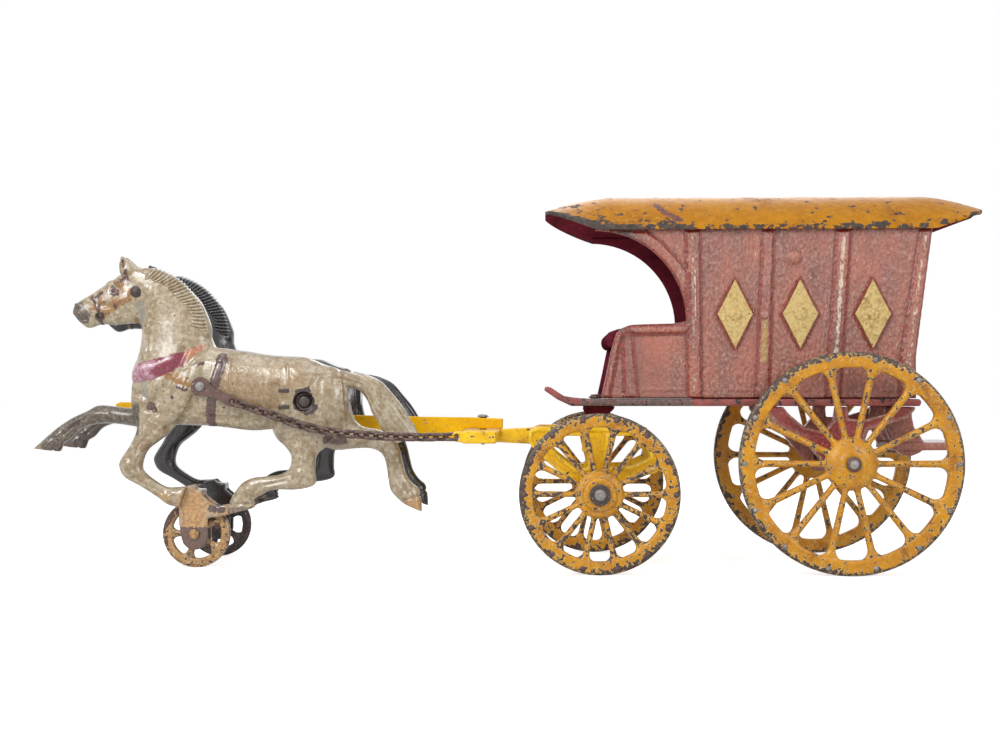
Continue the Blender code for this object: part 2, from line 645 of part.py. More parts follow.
folded_hindleg = [((-95.0, 68.0), (-70.0, 70.0), 7.2, 1.6), ((-96.0, 58.6), (-70.5, 57.0), 6.4, 2.6),
                  ((-94.0, 53.6), (-73.0, 50.6), 5.0, 3.8), ((-90.4, 50.4), (-76.4, 47.6), 4.3, 4.6),
                  ((-87.7, 46.4), (-77.5, 44.6), 3.9, 5.0), ((-88.2, 41.8), (-77.7, 39.6), 3.5, 5.2),
                  ((-90.6, 39.4), (-77.8, 34.6), 3.2, 5.2), ((-94.5, 38.3), (-85.0, 32.5), 3.0, 5.2),
                  ((-99.0, 37.9), (-95.0, 32.4), 2.7, 5.2), ((-103.6, 37.3), (-99.0, 30.6), 2.6, 5.2),
                  ((-107.6, 35.4), (-102.6, 28.8), 2.8, 5.2), ((-110.4, 32.2), (-102.9, 27.8), 3.0, 5.2),
                  ((-113.1, 27.4), (-101.9, 26.2), 3.2, 5.2), ((-113.9, 22.4), (-103.6, 24.7), 3.2, 5.2)]
reaching_hindleg = [((-78.0, 51.0), (-64.6, 70.0), 6.0, -1.0), ((-70.4, 48.4), (-62.6, 61.6), 5.2, -2.4),
                    ((-63.75, 48.9), (-58.8, 58.2), 4.4, -3.4), ((-57.0, 49.2), (-52.6, 57.0), 3.9, -4.0),
                    ((-52.3, 47.6), (-46.4, 53.4), 3.5, -4.4), ((-50.3, 44.6), (-44.0, 48.6), 3.1, -4.8),
                    ((-49.4, 40.6), (-42.8, 43.8), 2.9, -4.8), ((-48.75, 35.8), (-41.4, 38.6), 2.7, -4.8),
                    ((-47.8, 31.6), (-38.9, 34.9), 2.9, -4.8), ((-44.6, 27.9), (-36.0, 32.2), 3.0, -4.8),
                    ((-41.4, 25.5), (-35.0, 27.6), 3.1, -4.8), ((-37.6, 24.0), (-34.7, 22.8), 3.0, -4.8)]
mane = [((-146.5, 124.9), (-148.5, 119.5), 3.4, 0), ((-141.5, 122.0), (-144.0, 117.5), 3.6, 0),
        ((-134.6, 118.8), (-138.4, 114.5), 3.8, 0), ((-129.2, 113.9), (-133.4, 110.0), 4.0, 0),
        ((-125.3, 108.8), (-130.0, 105.6), 4.2, 0), ((-122.8, 103.0), (-127.8, 100.6), 4.6, 0),
        ((-121.2, 96.6), (-126.6, 95.2), 5.2, 0)]
collar = [((-156.2, 78.6), (-154.4, 83.6), 2.0, 6.6), ((-151.0, 76.8), (-150.2, 83.8), 2.2, 7.6),
          ((-143.0, 78.6), (-145.0, 85.6), 2.2, 8.2), ((-136.6, 81.6), (-139.8, 87.6), 2.2, 7.8),
          ((-129.6, 86.2), (-132.6, 89.8), 2.0, 6.2), ((-123.6, 91.0), (-126.0, 92.8), 2.0, 3.4)]


def between(a, b, c, d, t):
    # A smooth curve through b and c, with a and d giving its direction at each end
    return 0.5 * (2 * b + (c - a) * t + (2 * a - 5 * b + 4 * c - d) * t ** 2
                  + (3 * b - a - 3 * c + d) * t ** 3)


def limb(stations, steps=2, sides=12, face=1):
    rows = [(*a, *b, w, y) for a, b, w, y in stations]
    sections = []
    last = len(rows) - 1
    for i in range(last):
        around = [rows[max(i - 1, 0)], rows[i], rows[i + 1], rows[min(i + 2, last)]]
        for k in range(steps):
            sections.append([between(*values, k / steps) for values in zip(*around)])
    sections.append(rows[-1])
    shape = bmesh.new()
    rings = []
    for xa, za, xb, zb, half, out in sections:
        middle = Vector(((xa + xb) / 2, -out * face, (za + zb) / 2))
        reach = Vector(((xb - xa) / 2, 0, (zb - za) / 2))
        ring = []
        for k in range(sides):
            angle = 2 * math.pi * k / sides
            ring.append(shape.verts.new(middle + reach * math.cos(angle)
                                        + Vector((0, half * math.sin(angle), 0))))
        rings.append(ring)
    for low, high in zip(rings, rings[1:]):
        for k in range(sides):
            j = (k + 1) % sides
            shape.faces.new((low[k], low[j], high[j], high[k]))
    shape.faces.new(rings[0][::-1])
    shape.faces.new(rings[-1])
    bmesh.ops.recalc_face_normals(shape, faces=shape.faces)
    return shape


def fork_shapes():
    # The bracket cast between the two folded feet: a plate on each side of the small wheel
    # and a crown above it
    x, z = team_axle_x, team_wheel_radius
    foot = arc(x, z - 1.0, fork_leg_radius, 190, 350, 8)
    outline = [(-134.4, 33.0), (-134.4, 18.0), *foot, (x + fork_leg_radius, 20.7), (-118.0, 21.0),
               (-110.0, 23.0), (-110.0, 26.6), (-119.0, 25.4), (-123.0, 28.4), (-129.6, 34.2)]
    middle = team_wheel_thickness / 2 + 1.0 + fork_leg_thickness / 2
    plates = [slab(outline, y - fork_leg_thickness / 2, y + fork_leg_thickness / 2)
              for y in (-middle, middle)]
    top = z + team_wheel_radius + 1.2
    crown = box((-133.0, -middle - 0.8, top), (-124.6, middle + 0.8, top + 3.2))
    return [*plates, crown]


strap_rivet_place = (-124.0, 74.7)
strap_end = (-110.9, 68.7)
strap_inner = 31.1


def horse_shape():
    # The left horse about its own plane; overlapping limbs are melted into one skin
    parts = [limb(stations) for stations in (torso, neck, head, tail, reaching_foreleg,
                                             folded_foreleg, folded_hindleg, reaching_hindleg,
                                             mane, collar)]
    parts.append(limb([(a, b, w, -y) for a, b, w, y in collar]))
    parts += [limb(ear), limb([(a, b, w, -y) for a, b, w, y in ear]), *fork_shapes()]
    skin = helper(joined(parts))
    melt = skin.modifiers.new("melt", "REMESH")
    melt.mode = "VOXEL"
    melt.voxel_size = 0.75
    thin = skin.modifiers.new("thin", "DECIMATE")
    thin.ratio = 0.025
    bpy.context.view_layer.update()
    mesh = evaluated(skin)
    whole = bmesh.new()
    whole.from_mesh(mesh)
    bpy.data.objects.remove(skin, do_unlink=True)
    bpy.data.meshes.remove(mesh)
    reach = horse_half_width + 6
    holes = [rod(pin_radius + seat_gap, -reach, reach, 12, (front_pin_x, 0, front_pin_z)),
             rod(pin_radius + seat_gap, -reach, reach, 12, (rear_pin_x, 0, rear_pin_z)),
             rod(pin_head_radius + 1.2, -reach, -horse_half_width + 3.4, 16,
                 (rear_pin_x, 0, rear_pin_z)),
             rod(pin_head_radius + 0.5, -reach, -horse_half_width + 3.4, 16,
                 (front_pin_x, 0, front_pin_z)),
             rod(team_axle_radius + seat_gap, -reach, reach, 12,
                 (team_axle_x, 0, team_wheel_radius)),
             rod(1.0 + seat_gap, -reach, -horse_half_width + 4, 10,
                 (strap_rivet_place[0], 0, strap_rivet_place[1]))]
    return without(whole, holes)


def strap_shape():
    # The leather-like tug strap on the outer side, tapering towards the chain
    (ax, az), (bx, bz) = strap_rivet_place, strap_end
    along = Vector((bx - ax, bz - az)).normalized()
    across = Vector((-along.y, along.x))
    half = strap_width / 2
    outline = []
    for reach, spread in ((-3.6, -half), (8.0, -half), (15.6, -half * 0.72), (16.4, 0),
                          (15.6, half * 0.72), (8.0, half), (-3.6, half), (-4.4, 0)):
        point = Vector((ax, az)) + along * reach + across * spread
        outline.append((point.x, point.y))
    plate = slab(outline, -strap_inner - strap_thickness, -strap_inner)
    holes = [rod(1.0 + seat_gap, -40, -25, 10, (ax, 0, az)),
             rod(link_wire + 0.55, -40, -25, 10, (bx, 0, bz))]
    return without(plate, holes)


def route_point(left):
    # A place along the chain, measured from the strap
    points = [Vector(p) for p in chain_route]
    for a, b in zip(points, points[1:]):
        span = (b - a).length
        if left <= span or b is points[-1]:
            return a + (b - a) * (left / span), (b - a).normalized()
        left -= span


def route_length():
    points = [Vector(p) for p in chain_route]
    return sum((b - a).length for a, b in zip(points, points[1:]))


link_pitch = (route_length() - 2 * link_wire + link_bite) / link_count
link_length = link_pitch + 4 * link_wire - link_bite


def link_shape(centre, along, upright):
    up = Vector((0, 0, 1))
    side = along.cross(up).normalized()
    across = side.cross(along).normalized() if upright else side
    out = along.cross(across)
    straight = link_length / 2 - link_width / 2
    bow = link_width / 2 - link_wire
    shape = bmesh.new()
    rings = []
    for k in range(8):
        turn = 2 * math.pi * (k + 0.5) / 8
        radial = along * math.cos(turn) + across * math.sin(turn)
        shift = along * (straight if math.cos(turn) > 0 else -straight)
        middle = centre + shift + radial * bow
        rings.append([shape.verts.new(middle + radial * link_wire * a + out * link_wire * b)
                      for a, b in ((-1, 0), (0.5, 0.87), (0.5, -0.87))])
    for k in range(8):
        low, high = rings[k], rings[(k + 1) % 8]
        for i in range(3):
            j = (i + 1) % 3
            shape.faces.new((low[i], low[j], high[j], high[i]))
    bmesh.ops.recalc_face_normals(shape, faces=shape.faces)
    return shape


def chain_shape():
    # Every other link is turned a quarter, and each bears on the next
    sets = [[], []]
    for k in range(link_count):
        centre, along = route_point(link_length / 2 - link_wire + k * link_pitch)
        sets[k % 2].append(link_shape(centre, along, upright=k % 2 == 1))
    whole = boolean(joined(sets[0]), [joined(sets[1])], "UNION")
    return mirrored(whole)


clear_scene()

brick = paint("brick_red_paint", (0.38, 0.13, 0.10), 0.5)
maroon = paint("dark_maroon_paint", (0.10, 0.03, 0.04), 0.5)
mustard = paint("mustard_paint", (0.60, 0.31, 0.03), 0.45)
orange = paint("orange_yellow_paint", (0.67, 0.31, 0.03), 0.45)
yellow = paint("bright_yellow_paint", (0.85, 0.50, 0.01), 0.4)
ivory = paint("aged_ivory_paint", (0.50, 0.43, 0.31), 0.35)
black = paint("black_paint", (0.03, 0.025, 0.02), 0.3)
gilt = paint("pale_gold_paint", (0.55, 0.40, 0.16), 0.4, 0.3)
iron = paint("brown_iron", (0.13, 0.08, 0.06), 0.6, 0.6)
steel = paint("bright_steel", (0.60, 0.58, 0.55), 0.3, 1.0)

hub_outer = wheel_plane + hub_length / 2
axle_reach = hub_outer + running_gap

# Wagon body
body = pivot("wagon", (0, 0, 0))
left = side_shape()
right = mirrored(left.copy())
place("left_side", left, brick, parent=body)
place("right_side", right, brick, parent=body)
place("roof", roof_shape(), mustard, parent=body)
place("floor", floor_shape(), maroon, parent=body)
place("driver_seat", seat_shape(), maroon, parent=body)
place("tail_step", step_shape(), brick, parent=body)
place("front_bolster", bolster_shape(), brick, parent=body)
face = side_outer - rib_height + seat_gap
for label, x in zip(("front", "middle", "rear"), ornament_places):
    near = moved(ornament_shape(face), (x, 0, ornament_height))
    far = mirrored(near.copy())
    place("left_" + label + "_ornament", near, gilt, parent=body)
    place("right_" + label + "_ornament", far, gilt, parent=body)
for label, y_sign in (("left", 1), ("right", -1)):
    shape = spring_shape()
    place(label + "_rear_spring", shape if y_sign > 0 else mirrored(shape), brick, parent=body)

head_base = side_outer + seat_gap
tie = turned([(0, -head_base - 1.4), (tie_head_radius * 0.6, -head_base - 1.1),
              (tie_head_radius, -head_base), (tie_radius, -head_base), (tie_radius, head_base),
              (tie_head_radius, head_base), (tie_head_radius * 0.6, head_base + 1.1),
              (0, head_base + 1.4)], 14)
place("body_tie_rivet", tie, steel, (tie_x, 0, tie_z), body)


def axle_shape(radius, head, reach):
    # An axle with its ends peened over outside the wheel hubs
    return turned([(0, -reach - 1.5), (head * 0.7, -reach - 1.3), (head, -reach - 0.5), (head, -reach),
                   (radius, -reach), (radius, reach), (head, reach), (head, reach + 0.5),
                   (head * 0.7, reach + 1.3), (0, reach + 1.5)], 12)


place("rear_axle", axle_shape(rear_axle_radius, rear_head_radius, axle_reach), iron,
      (rear_axle_x, 0, rear_wheel_radius), body)
kingpin_top = body_floor_top + seat_gap
kingpin_low = 47.0 - seat_gap
kingpin = turned([(0, kingpin_low - 1.8), (kingpin_head_radius * 0.8, kingpin_low - 1.6),
                  (kingpin_head_radius, kingpin_low), (kingpin_radius, kingpin_low),
                  (kingpin_radius, kingpin_top), (kingpin_head_radius * 0.9, kingpin_top),
                  (kingpin_head_radius * 0.5, kingpin_top + 1.5), (0, kingpin_top + 1.7)], 16)
for vert in kingpin.verts:
    vert.co = (vert.co.x, -vert.co.z, vert.co.y)
place("kingpin", kingpin, iron, (front_axle_x, 0, 0), body)

for label, sign in (("left", -1), ("right", 1)):
    hub = pivot(label + "_rear_wheel_axis", (rear_axle_x, sign * wheel_plane, rear_wheel_radius),
                body)
    place(label + "_rear_wheel",
          wheel_shape(rear_wheel_radius, rear_wheel_rim, wheel_thickness, rear_hub_radius,
                      hub_length / 2, rear_axle_radius + running_gap, spoke_count, spoke_width, 44),
          orange, (rear_axle_x, sign * wheel_plane, rear_wheel_radius), hub)

# Front truck, which turns about the kingpin and carries the pole and the team
truck = pivot("front_truck_axis", (front_axle_x, 0, front_wheel_radius), body)
place("truck_casting", truck_shape(), yellow,
      parent=truck)
washer_inner = hub_outer + running_gap
front_reach = washer_inner + washer_thickness + seat_gap
place("front_axle", axle_shape(front_axle_radius, front_axle_radius + 0.5, front_reach), iron,
      (front_axle_x, 0, front_wheel_radius), truck)
for label, sign in (("left", -1), ("right", 1)):
    bore = front_axle_radius + seat_gap - 0.05
    low, high = sorted((sign * washer_inner, sign * (washer_inner + washer_thickness)))
    washer = turned([(bore, low), (washer_radius, low), (washer_radius, high), (bore, high)], 14)
    place(label + "_front_washer", washer, iron, (front_axle_x, 0, front_wheel_radius), truck)
    hub = pivot(label + "_front_wheel_axis",
                (front_axle_x, sign * wheel_plane, front_wheel_radius), truck)
    place(label + "_front_wheel",
          wheel_shape(front_wheel_radius, front_wheel_rim, wheel_thickness, front_hub_radius,
                      hub_length / 2, front_axle_radius + running_gap, spoke_count, spoke_width, 44),
          orange, (front_axle_x, sign * wheel_plane, front_wheel_radius), hub)

place("pole", pole_shape(), yellow, parent=truck)
rivet_x = (crossbar_front + crossbar_rear) / 2
rivet_low = crossbar_top - crossbar_thickness - 1.8 - seat_gap
rivet_high = crossbar_top + seat_gap + 5.0
rivet = turned([(0, rivet_low - 1.2), (2.6, rivet_low), (pole_rivet_radius, rivet_low),
                (pole_rivet_radius, rivet_high), (2.8, rivet_high), (1.8, rivet_high + 1.0),
                (0, rivet_high + 1.2)], 14)
for vert in rivet.verts:
    vert.co = (vert.co.x, -vert.co.z, vert.co.y)
place("pole_rivet", rivet, steel, (rivet_x, 0, 0), truck)

# Team
horse = horse_shape()
mirror_horse = mirrored(horse.copy())
place("left_horse", horse, ivory, (0, -horse_plane, 0), truck)
place("right_horse", mirror_horse, black, (0, horse_plane, 0), truck)
seat_depth = horse_plane + horse_half_width - 3.4 + seat_gap
for label, x, z in (("front", front_pin_x, front_pin_z), ("rear", rear_pin_x, rear_pin_z)):
    pin = turned([(0, -seat_depth - 1.6), (pin_head_radius * 0.7, -seat_depth - 1.4),
                  (pin_head_radius, -seat_depth), (pin_radius, -seat_depth),
                  (pin_radius, seat_depth), (pin_head_radius, seat_depth),
                  (pin_head_radius * 0.7, seat_depth + 1.4), (0, seat_depth + 1.6)], 14)
    place(label + "_team_pin", pin, iron, (x, 0, z), truck)

fork_outer = team_wheel_thickness / 2 + 1.0 + fork_leg_thickness + seat_gap
for label, sign, finish in (("left", -1, iron), ("right", 1, black)):
    centre = (team_axle_x, sign * horse_plane, team_wheel_radius)
    place(label + "_team_axle", axle_shape(team_axle_radius, 2.2, fork_outer), iron, centre, truck)
    hub = pivot(label + "_team_wheel_axis", centre, truck)
    place(label + "_team_wheel",
          wheel_shape(team_wheel_radius, team_wheel_rim, team_wheel_thickness, 3.2,
                      team_wheel_thickness / 2 + 0.6, team_axle_radius + running_gap, team_spokes,
                      2.4, 28, math.radians(180)), finish, centre, hub)
    strap = strap_shape()
    place(label + "_tug_strap", strap if sign < 0 else mirrored(strap), iron, parent=truck)
    outer = strap_inner + strap_thickness + seat_gap
    inner = horse_plane + horse_half_width - 3.6
    stud = turned([(0, -outer - 1.0), (1.5, -outer - 0.7), (2.1, -outer), (1.0, -outer),
                   (1.0, -inner), (0, -inner)], 12)
    place(label + "_strap_rivet", stud if sign < 0 else mirrored(stud), steel,
          (strap_rivet_place[0], 0, strap_rivet_place[1]), truck)
    chain = chain_shape()
    place(label + "_trace_chain", chain if sign < 0 else mirrored(chain), iron, parent=truck)
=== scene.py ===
import math

import bmesh
import bpy
import numpy as np
from mathutils import Matrix, Vector
from mathutils.bvhtree import BVHTree


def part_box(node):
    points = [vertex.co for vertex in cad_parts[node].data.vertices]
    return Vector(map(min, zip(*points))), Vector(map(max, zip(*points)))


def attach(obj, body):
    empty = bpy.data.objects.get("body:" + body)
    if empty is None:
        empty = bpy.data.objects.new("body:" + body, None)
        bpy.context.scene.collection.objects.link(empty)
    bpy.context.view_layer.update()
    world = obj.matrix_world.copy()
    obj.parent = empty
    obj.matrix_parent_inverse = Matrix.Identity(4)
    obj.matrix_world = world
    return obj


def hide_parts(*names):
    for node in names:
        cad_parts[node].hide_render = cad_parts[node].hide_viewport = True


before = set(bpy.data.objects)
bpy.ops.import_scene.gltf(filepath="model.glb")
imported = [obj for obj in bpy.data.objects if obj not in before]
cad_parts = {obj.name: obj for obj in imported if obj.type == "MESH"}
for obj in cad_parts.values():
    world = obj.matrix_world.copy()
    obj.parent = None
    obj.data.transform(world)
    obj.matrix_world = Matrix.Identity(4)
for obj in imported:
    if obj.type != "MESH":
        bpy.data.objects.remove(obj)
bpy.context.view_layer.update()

# Everything below is drawn in millimetres and shrunk to metres when a piece is finished
mm = 0.001
scene = bpy.context.scene

# The camera is fitted to the photograph: place in millimetres, angles in degrees
view = {"place": (16.767, -614.0, 72.6), "tilt": 90.688, "turn": 1.829, "lens": 51.84}

lens = bpy.data.cameras.new("frontView")
lens.sensor_width = 36
lens.lens = view["lens"]
lens.clip_end = 20
eye = bpy.data.objects.new("frontView", lens)
eye.location = Vector(view["place"]) * mm
eye.rotation_euler = (math.radians(view["tilt"]), 0, math.radians(view["turn"]))
scene.collection.objects.link(eye)
scene.camera = eye
scene.view_settings.view_transform = "Standard"

lampPlan = {
    "overhead": {"place": (-60, -160, 620), "size": 520, "power": 0.9},
    "frontLeft": {"place": (-430, -620, 420), "size": 380, "power": 2.3},
    "frontRight": {"place": (420, -560, 300), "size": 300, "power": 1.0},
    "behind": {"place": (120, 520, 420), "size": 420, "power": 1.0},
    "sparkle": {"place": (-260, -480, 470), "size": 60, "power": 0.8},
}


def hangLamp(name, plan):
    lamp = bpy.data.lights.new(name, "AREA")
    lamp.shape = "DISK"
    lamp.size = plan["size"] * mm
    lamp.energy = plan["power"]
    holder = bpy.data.objects.new(name, lamp)
    holder.location = Vector(plan["place"]) * mm
    aim = Vector((0, 0, 70)) * mm - holder.location
    holder.rotation_euler = aim.to_track_quat("-Z", "Y").to_euler()
    scene.collection.objects.link(holder)


for lampName, plan in lampPlan.items():
    hangLamp(lampName, plan)


def srgb(red, green, blue):
    # Picked colours are sRGB, shaders want linear values
    shares = [c / 255 for c in (red, green, blue)]
    linear = [s / 12.92 if s <= 0.04045 else ((s + 0.055) / 1.055) ** 2.4 for s in shares]
    return (*linear, 1.0)


def addNode(tree, kind, inputs=None, **settings):
    made = tree.nodes.new(kind if "Node" in kind else "ShaderNode" + kind)
    for key, value in settings.items():
        setattr(made, key, value)
    for key, value in (inputs or {}).items():
        if isinstance(value, bpy.types.NodeSocket):
            tree.links.new(value, made.inputs[key])
        else:
            made.inputs[key].default_value = value
    return made


def backdropRays(tree):
    # What the camera, a mirror and glass see straight away
    rays = addNode(tree, "LightPath")
    either = addNode(tree, "Math", {0: rays.outputs["Is Camera Ray"],
                                    1: rays.outputs["Is Glossy Ray"]}, operation="ADD")
    both = addNode(tree, "Math", {0: either.outputs[0], 1: rays.outputs["Is Transmission Ray"]},
                   operation="ADD", use_clamp=True)
    return rays, both.outputs[0]


studio = {"fill": 0.42, "seen": 1.0, "floorPaint": 0.86, "floorGlow": 0.62, "floorHalf": 6.0}

world = bpy.data.worlds.new("studio")
scene.world = world
world.use_nodes = True
sky = world.node_tree.nodes["Background"]
sky.inputs["Color"].default_value = (1, 1, 1, 1)
seen = backdropRays(world.node_tree)[1]
level = addNode(world.node_tree, "MapRange", {"Value": seen, "To Min": studio["fill"],
                                              "To Max": studio["seen"]})
world.node_tree.links.new(level.outputs[0], sky.inputs["Strength"])

floorPaint = bpy.data.materials.new("studioFloor")
floorPaint.use_nodes = True
floorTree = floorPaint.node_tree
floorShader = floorTree.nodes["Principled BSDF"]
floorShader.inputs["Base Color"].default_value = (studio["floorPaint"],) * 3 + (1,)
floorShader.inputs["Roughness"].default_value = 0.9
floorShader.inputs["Specular IOR Level"].default_value = 0.1
floorShader.inputs["Emission Color"].default_value = (1, 1, 1, 1)
glow = addNode(floorTree, "MapRange", {"Value": backdropRays(floorTree)[0].outputs["Is Camera Ray"],
                                       "To Max": studio["floorGlow"]})
floorTree.links.new(glow.outputs[0], floorShader.inputs["Emission Strength"])

floorShape = bpy.data.meshes.new("studioFloor")
reach = studio["floorHalf"]
floorShape.from_pydata([(-reach, -reach, 0), (reach, -reach, 0), (reach, reach, 0),
                        (-reach, reach, 0)], [], [(0, 1, 2, 3)])
floorShape.materials.append(floorPaint)
studioFloor = bpy.data.objects.new("studioFloor", floorShape)
scene.collection.objects.link(studioFloor)
print("camera, lamps and floor are set")


def speckle(tree, coords, size, detail=3.0, rough=0.55, stretch=None, shift=0.0):
    # Noise whose blotches are about size millimetres across
    if stretch or shift:
        coords = addNode(tree, "Mapping", {"Vector": coords, "Scale": stretch or (1, 1, 1),
                                           "Location": (shift, shift, shift)}).outputs[0]
    return addNode(tree, "TexNoise", {"Vector": coords, "Scale": 1 / (size * mm),
                                      "Detail": detail, "Roughness": rough}).outputs[0]


def span(tree, value, low, high, least=0.0, most=1.0):
    return addNode(tree, "MapRange", {"Value": value, "From Min": low, "From Max": high,
                                      "To Min": least, "To Max": most}).outputs[0]


def sums(tree, operation, a, b):
    return addNode(tree, "Math", {0: a, 1: b}, operation=operation).outputs[0]


def plus(tree, a, b):
    return sums(tree, "ADD", a, b)


def times(tree, a, b):
    return sums(tree, "MULTIPLY", a, b)


def layer(tree, mask, under, over):
    return addNode(tree, "Mix", {0: mask, 6: under, 7: over}, data_type="RGBA").outputs[2]


def ownMark(tree, name):
    # A number stored on the mesh, such as how sharp the edge is there
    return addNode(tree, "Attribute", attribute_name=name).outputs["Fac"]


baseLook = {
    "paint": (200, 150, 60), "shade": (180, 130, 50), "grime": (90, 60, 35),
    "primer": (225, 200, 160), "metal": (74, 62, 56), "metalShade": (48, 38, 36),
    "toneSize": 9.0, "chipSize": 2.6, "chipAt": 0.66, "primerWidth": 0.025, "edgeWear": 0.25,
    "edgeFrom": 0.08, "edgeTo": 0.5, "hollowGrime": 0.8, "hollowAt": 0.12, "grimeAt": 0.6,
    "grainSize": 0.5, "bump": 0.10, "rough": 0.38, "metalRough": 0.6, "shift": 0.0,
    "stretch": None, "wornColour": (235, 215, 180), "wornAt": 0.62, "wornEdge": 0.0,
    "metalness": 0.35, "coat": 0.0, "ragged": 0.22, "soot": (80, 66, 56), "rub": 0.0,
    "rubColour": (200, 170, 160), "rubDark": (110, 70, 66), "pebble": 0.0, "pebbleSize": 1.2,
    "pebbleStretch": None, "shine": 0.5, "fleck": 0.35, "soft": (), "marks": (),
}


def paintedIron(name, **changes):
    # Old enamel on cast iron: uneven paint, dirt in the hollows, chips with a primer rim
    look = {**baseLook, **changes}
    made = bpy.data.materials.new(name)
    made.use_nodes = True
    tree = made.node_tree
    shader = tree.nodes["Principled BSDF"]
    coords = addNode(tree, "TexCoord").outputs["Object"]
    moved = look["shift"]
    edge = ownMark(tree, "edge")
    tone = speckle(tree, coords, look["toneSize"], 4, 0.6, look["stretch"], moved)
    fine = speckle(tree, coords, 1.4, 4, 0.65, look["stretch"], moved + 1)
    grain = speckle(tree, coords, look["grainSize"], 3, 0.6, None, moved + 2)
    chipNoise = speckle(tree, coords, look["chipSize"], 7, 0.62, None, moved + 3)
    colour = layer(tree, span(tree, tone, 0.36, 0.64), srgb(*look["paint"]), srgb(*look["shade"]))
    flecks = span(tree, fine, 0.45, 0.75, 0.0, look["fleck"])
    colour = layer(tree, flecks, colour, srgb(*look["grime"]))
    hollow = span(tree, edge, 0.0, -look["hollowAt"], 0.0, look["hollowGrime"])
    smear = span(tree, plus(tree, tone, times(tree, fine, 0.35)),
                 look["grimeAt"] + 0.17, look["grimeAt"] + 0.3, 0.0, 0.75)
    dirt = sums(tree, "MAXIMUM", times(tree, hollow, span(tree, fine, 0.3, 0.6)), smear)
    colour = layer(tree, dirt, colour, srgb(*look["grime"]))
    lump = speckle(tree, coords, look["pebbleSize"], 2, 0.5, look["pebbleStretch"], moved + 4)
    calm = sums(tree, "SUBTRACT", 1.0, ownMark(tree, "calm"))
    if look["rub"]:
        # Handling rubs the high spots of the casting pale and leaves the low ones dark
        place = times(tree, span(tree, tone, 0.4, 0.62, 0.25, 1.0), calm)
        high = times(tree, span(tree, lump, 0.52, 0.64, 0.0, look["rub"]), place)
        low = times(tree, span(tree, lump, 0.47, 0.34, 0.0, look["rub"] * 0.8), calm)
        colour = layer(tree, high, colour, srgb(*look["rubColour"]))
        colour = layer(tree, low, colour, srgb(*look["rubDark"]))
    sharp = span(tree, edge, look["edgeFrom"], look["edgeTo"])
    for mark, colourOver, colourShade in look["marks"]:
        # Painted areas such as straps, with a slightly ragged border
        ragged = span(tree, plus(tree, times(tree, fine, 0.6), times(tree, lump, 0.4)), 0.34, 0.66,
                      -look["ragged"], look["ragged"])
        reach = plus(tree, ownMark(tree, mark), ragged)
        over = layer(tree, span(tree, fine, 0.4, 0.62), srgb(*colourOver), srgb(*colourShade))
        low, high = (0.1, 0.9) if mark in look["soft"] else (0.42, 0.58)
        colour = layer(tree, span(tree, reach, low, high), colour, over)
    # Painted shade: a darker colour laid wherever the mesh marks shade
    soot = times(tree, ownMark(tree, "soot"), span(tree, fine, 0.3, 0.65, 0.45, 1.0))
    colour = layer(tree, soot, colour, srgb(*look["soot"]))
    crest = times(tree, sharp, look["wornEdge"])
    rubbed = span(tree, plus(tree, plus(tree, fine, crest), ownMark(tree, "worn")),
                  look["wornAt"] + 0.04, look["wornAt"] + 0.16)
    colour = layer(tree, rubbed, colour, srgb(*look["wornColour"]))
    chipped = times(tree, sharp, look["edgeWear"])
    wear = plus(tree, plus(tree, chipNoise, chipped), ownMark(tree, "chip"))
    rim = span(tree, wear, look["chipAt"] - look["primerWidth"], look["chipAt"] - 0.004)
    bare = span(tree, wear, look["chipAt"], look["chipAt"] + 0.012)
    colour = layer(tree, times(tree, rim, 0.75), colour, srgb(*look["primer"]))
    iron = layer(tree, span(tree, fine, 0.35, 0.65), srgb(*look["metal"]),
                 srgb(*look["metalShade"]))
    colour = layer(tree, bare, colour, iron)
    tree.links.new(colour, shader.inputs["Base Color"])
    rough = span(tree, grain, 0.3, 0.7, look["rough"] - 0.07, look["rough"] + 0.09)
    dull = sums(tree, "MAXIMUM", bare, dirt)
    rough = plus(tree, rough, times(tree, dull, look["metalRough"] - look["rough"]))
    tree.links.new(rough, shader.inputs["Roughness"])
    tree.links.new(times(tree, bare, look["metalness"]), shader.inputs["Metallic"])
    shader.inputs["Specular IOR Level"].default_value = look["shine"]
    shader.inputs["Coat Weight"].default_value = look["coat"]
    shader.inputs["Coat Roughness"].default_value = 0.12
    height = plus(tree, times(tree, grain, 0.5), times(tree, fine, 0.8))
    if look["pebble"]:
        lump = times(tree, lump, calm)
        height = plus(tree, height, times(tree, lump, look["pebble"]))
    height = sums(tree, "SUBTRACT", height, times(tree, bare, 0.55))
    bump = addNode(tree, "Bump", {"Height": height, "Strength": 1.0, "Distance": look["bump"] * mm})
    tree.links.new(bump.outputs[0], shader.inputs["Normal"])
    return made


def newObject(name, mesh):
    made = bpy.data.objects.new(name, mesh)
    scene.collection.objects.link(made)
    return made


def meshFrom(name, shape):
    made = bpy.data.meshes.new(name)
    shape.to_mesh(made)
    shape.free()
    return made


def slab(outline, yFrom, yTo):
    # An outline in the XZ plane, given thickness along Y
    shape = bmesh.new()
    near = [shape.verts.new((x, yFrom, z)) for x, z in outline]
    far = [shape.verts.new((x, yTo, z)) for x, z in outline]
    shape.faces.new(near)
    shape.faces.new(far[::-1])
    for i in range(len(outline)):
        j = (i + 1) % len(outline)
        shape.faces.new((near[j], near[i], far[i], far[j]))
    bmesh.ops.recalc_face_normals(shape, faces=shape.faces)
    return shape


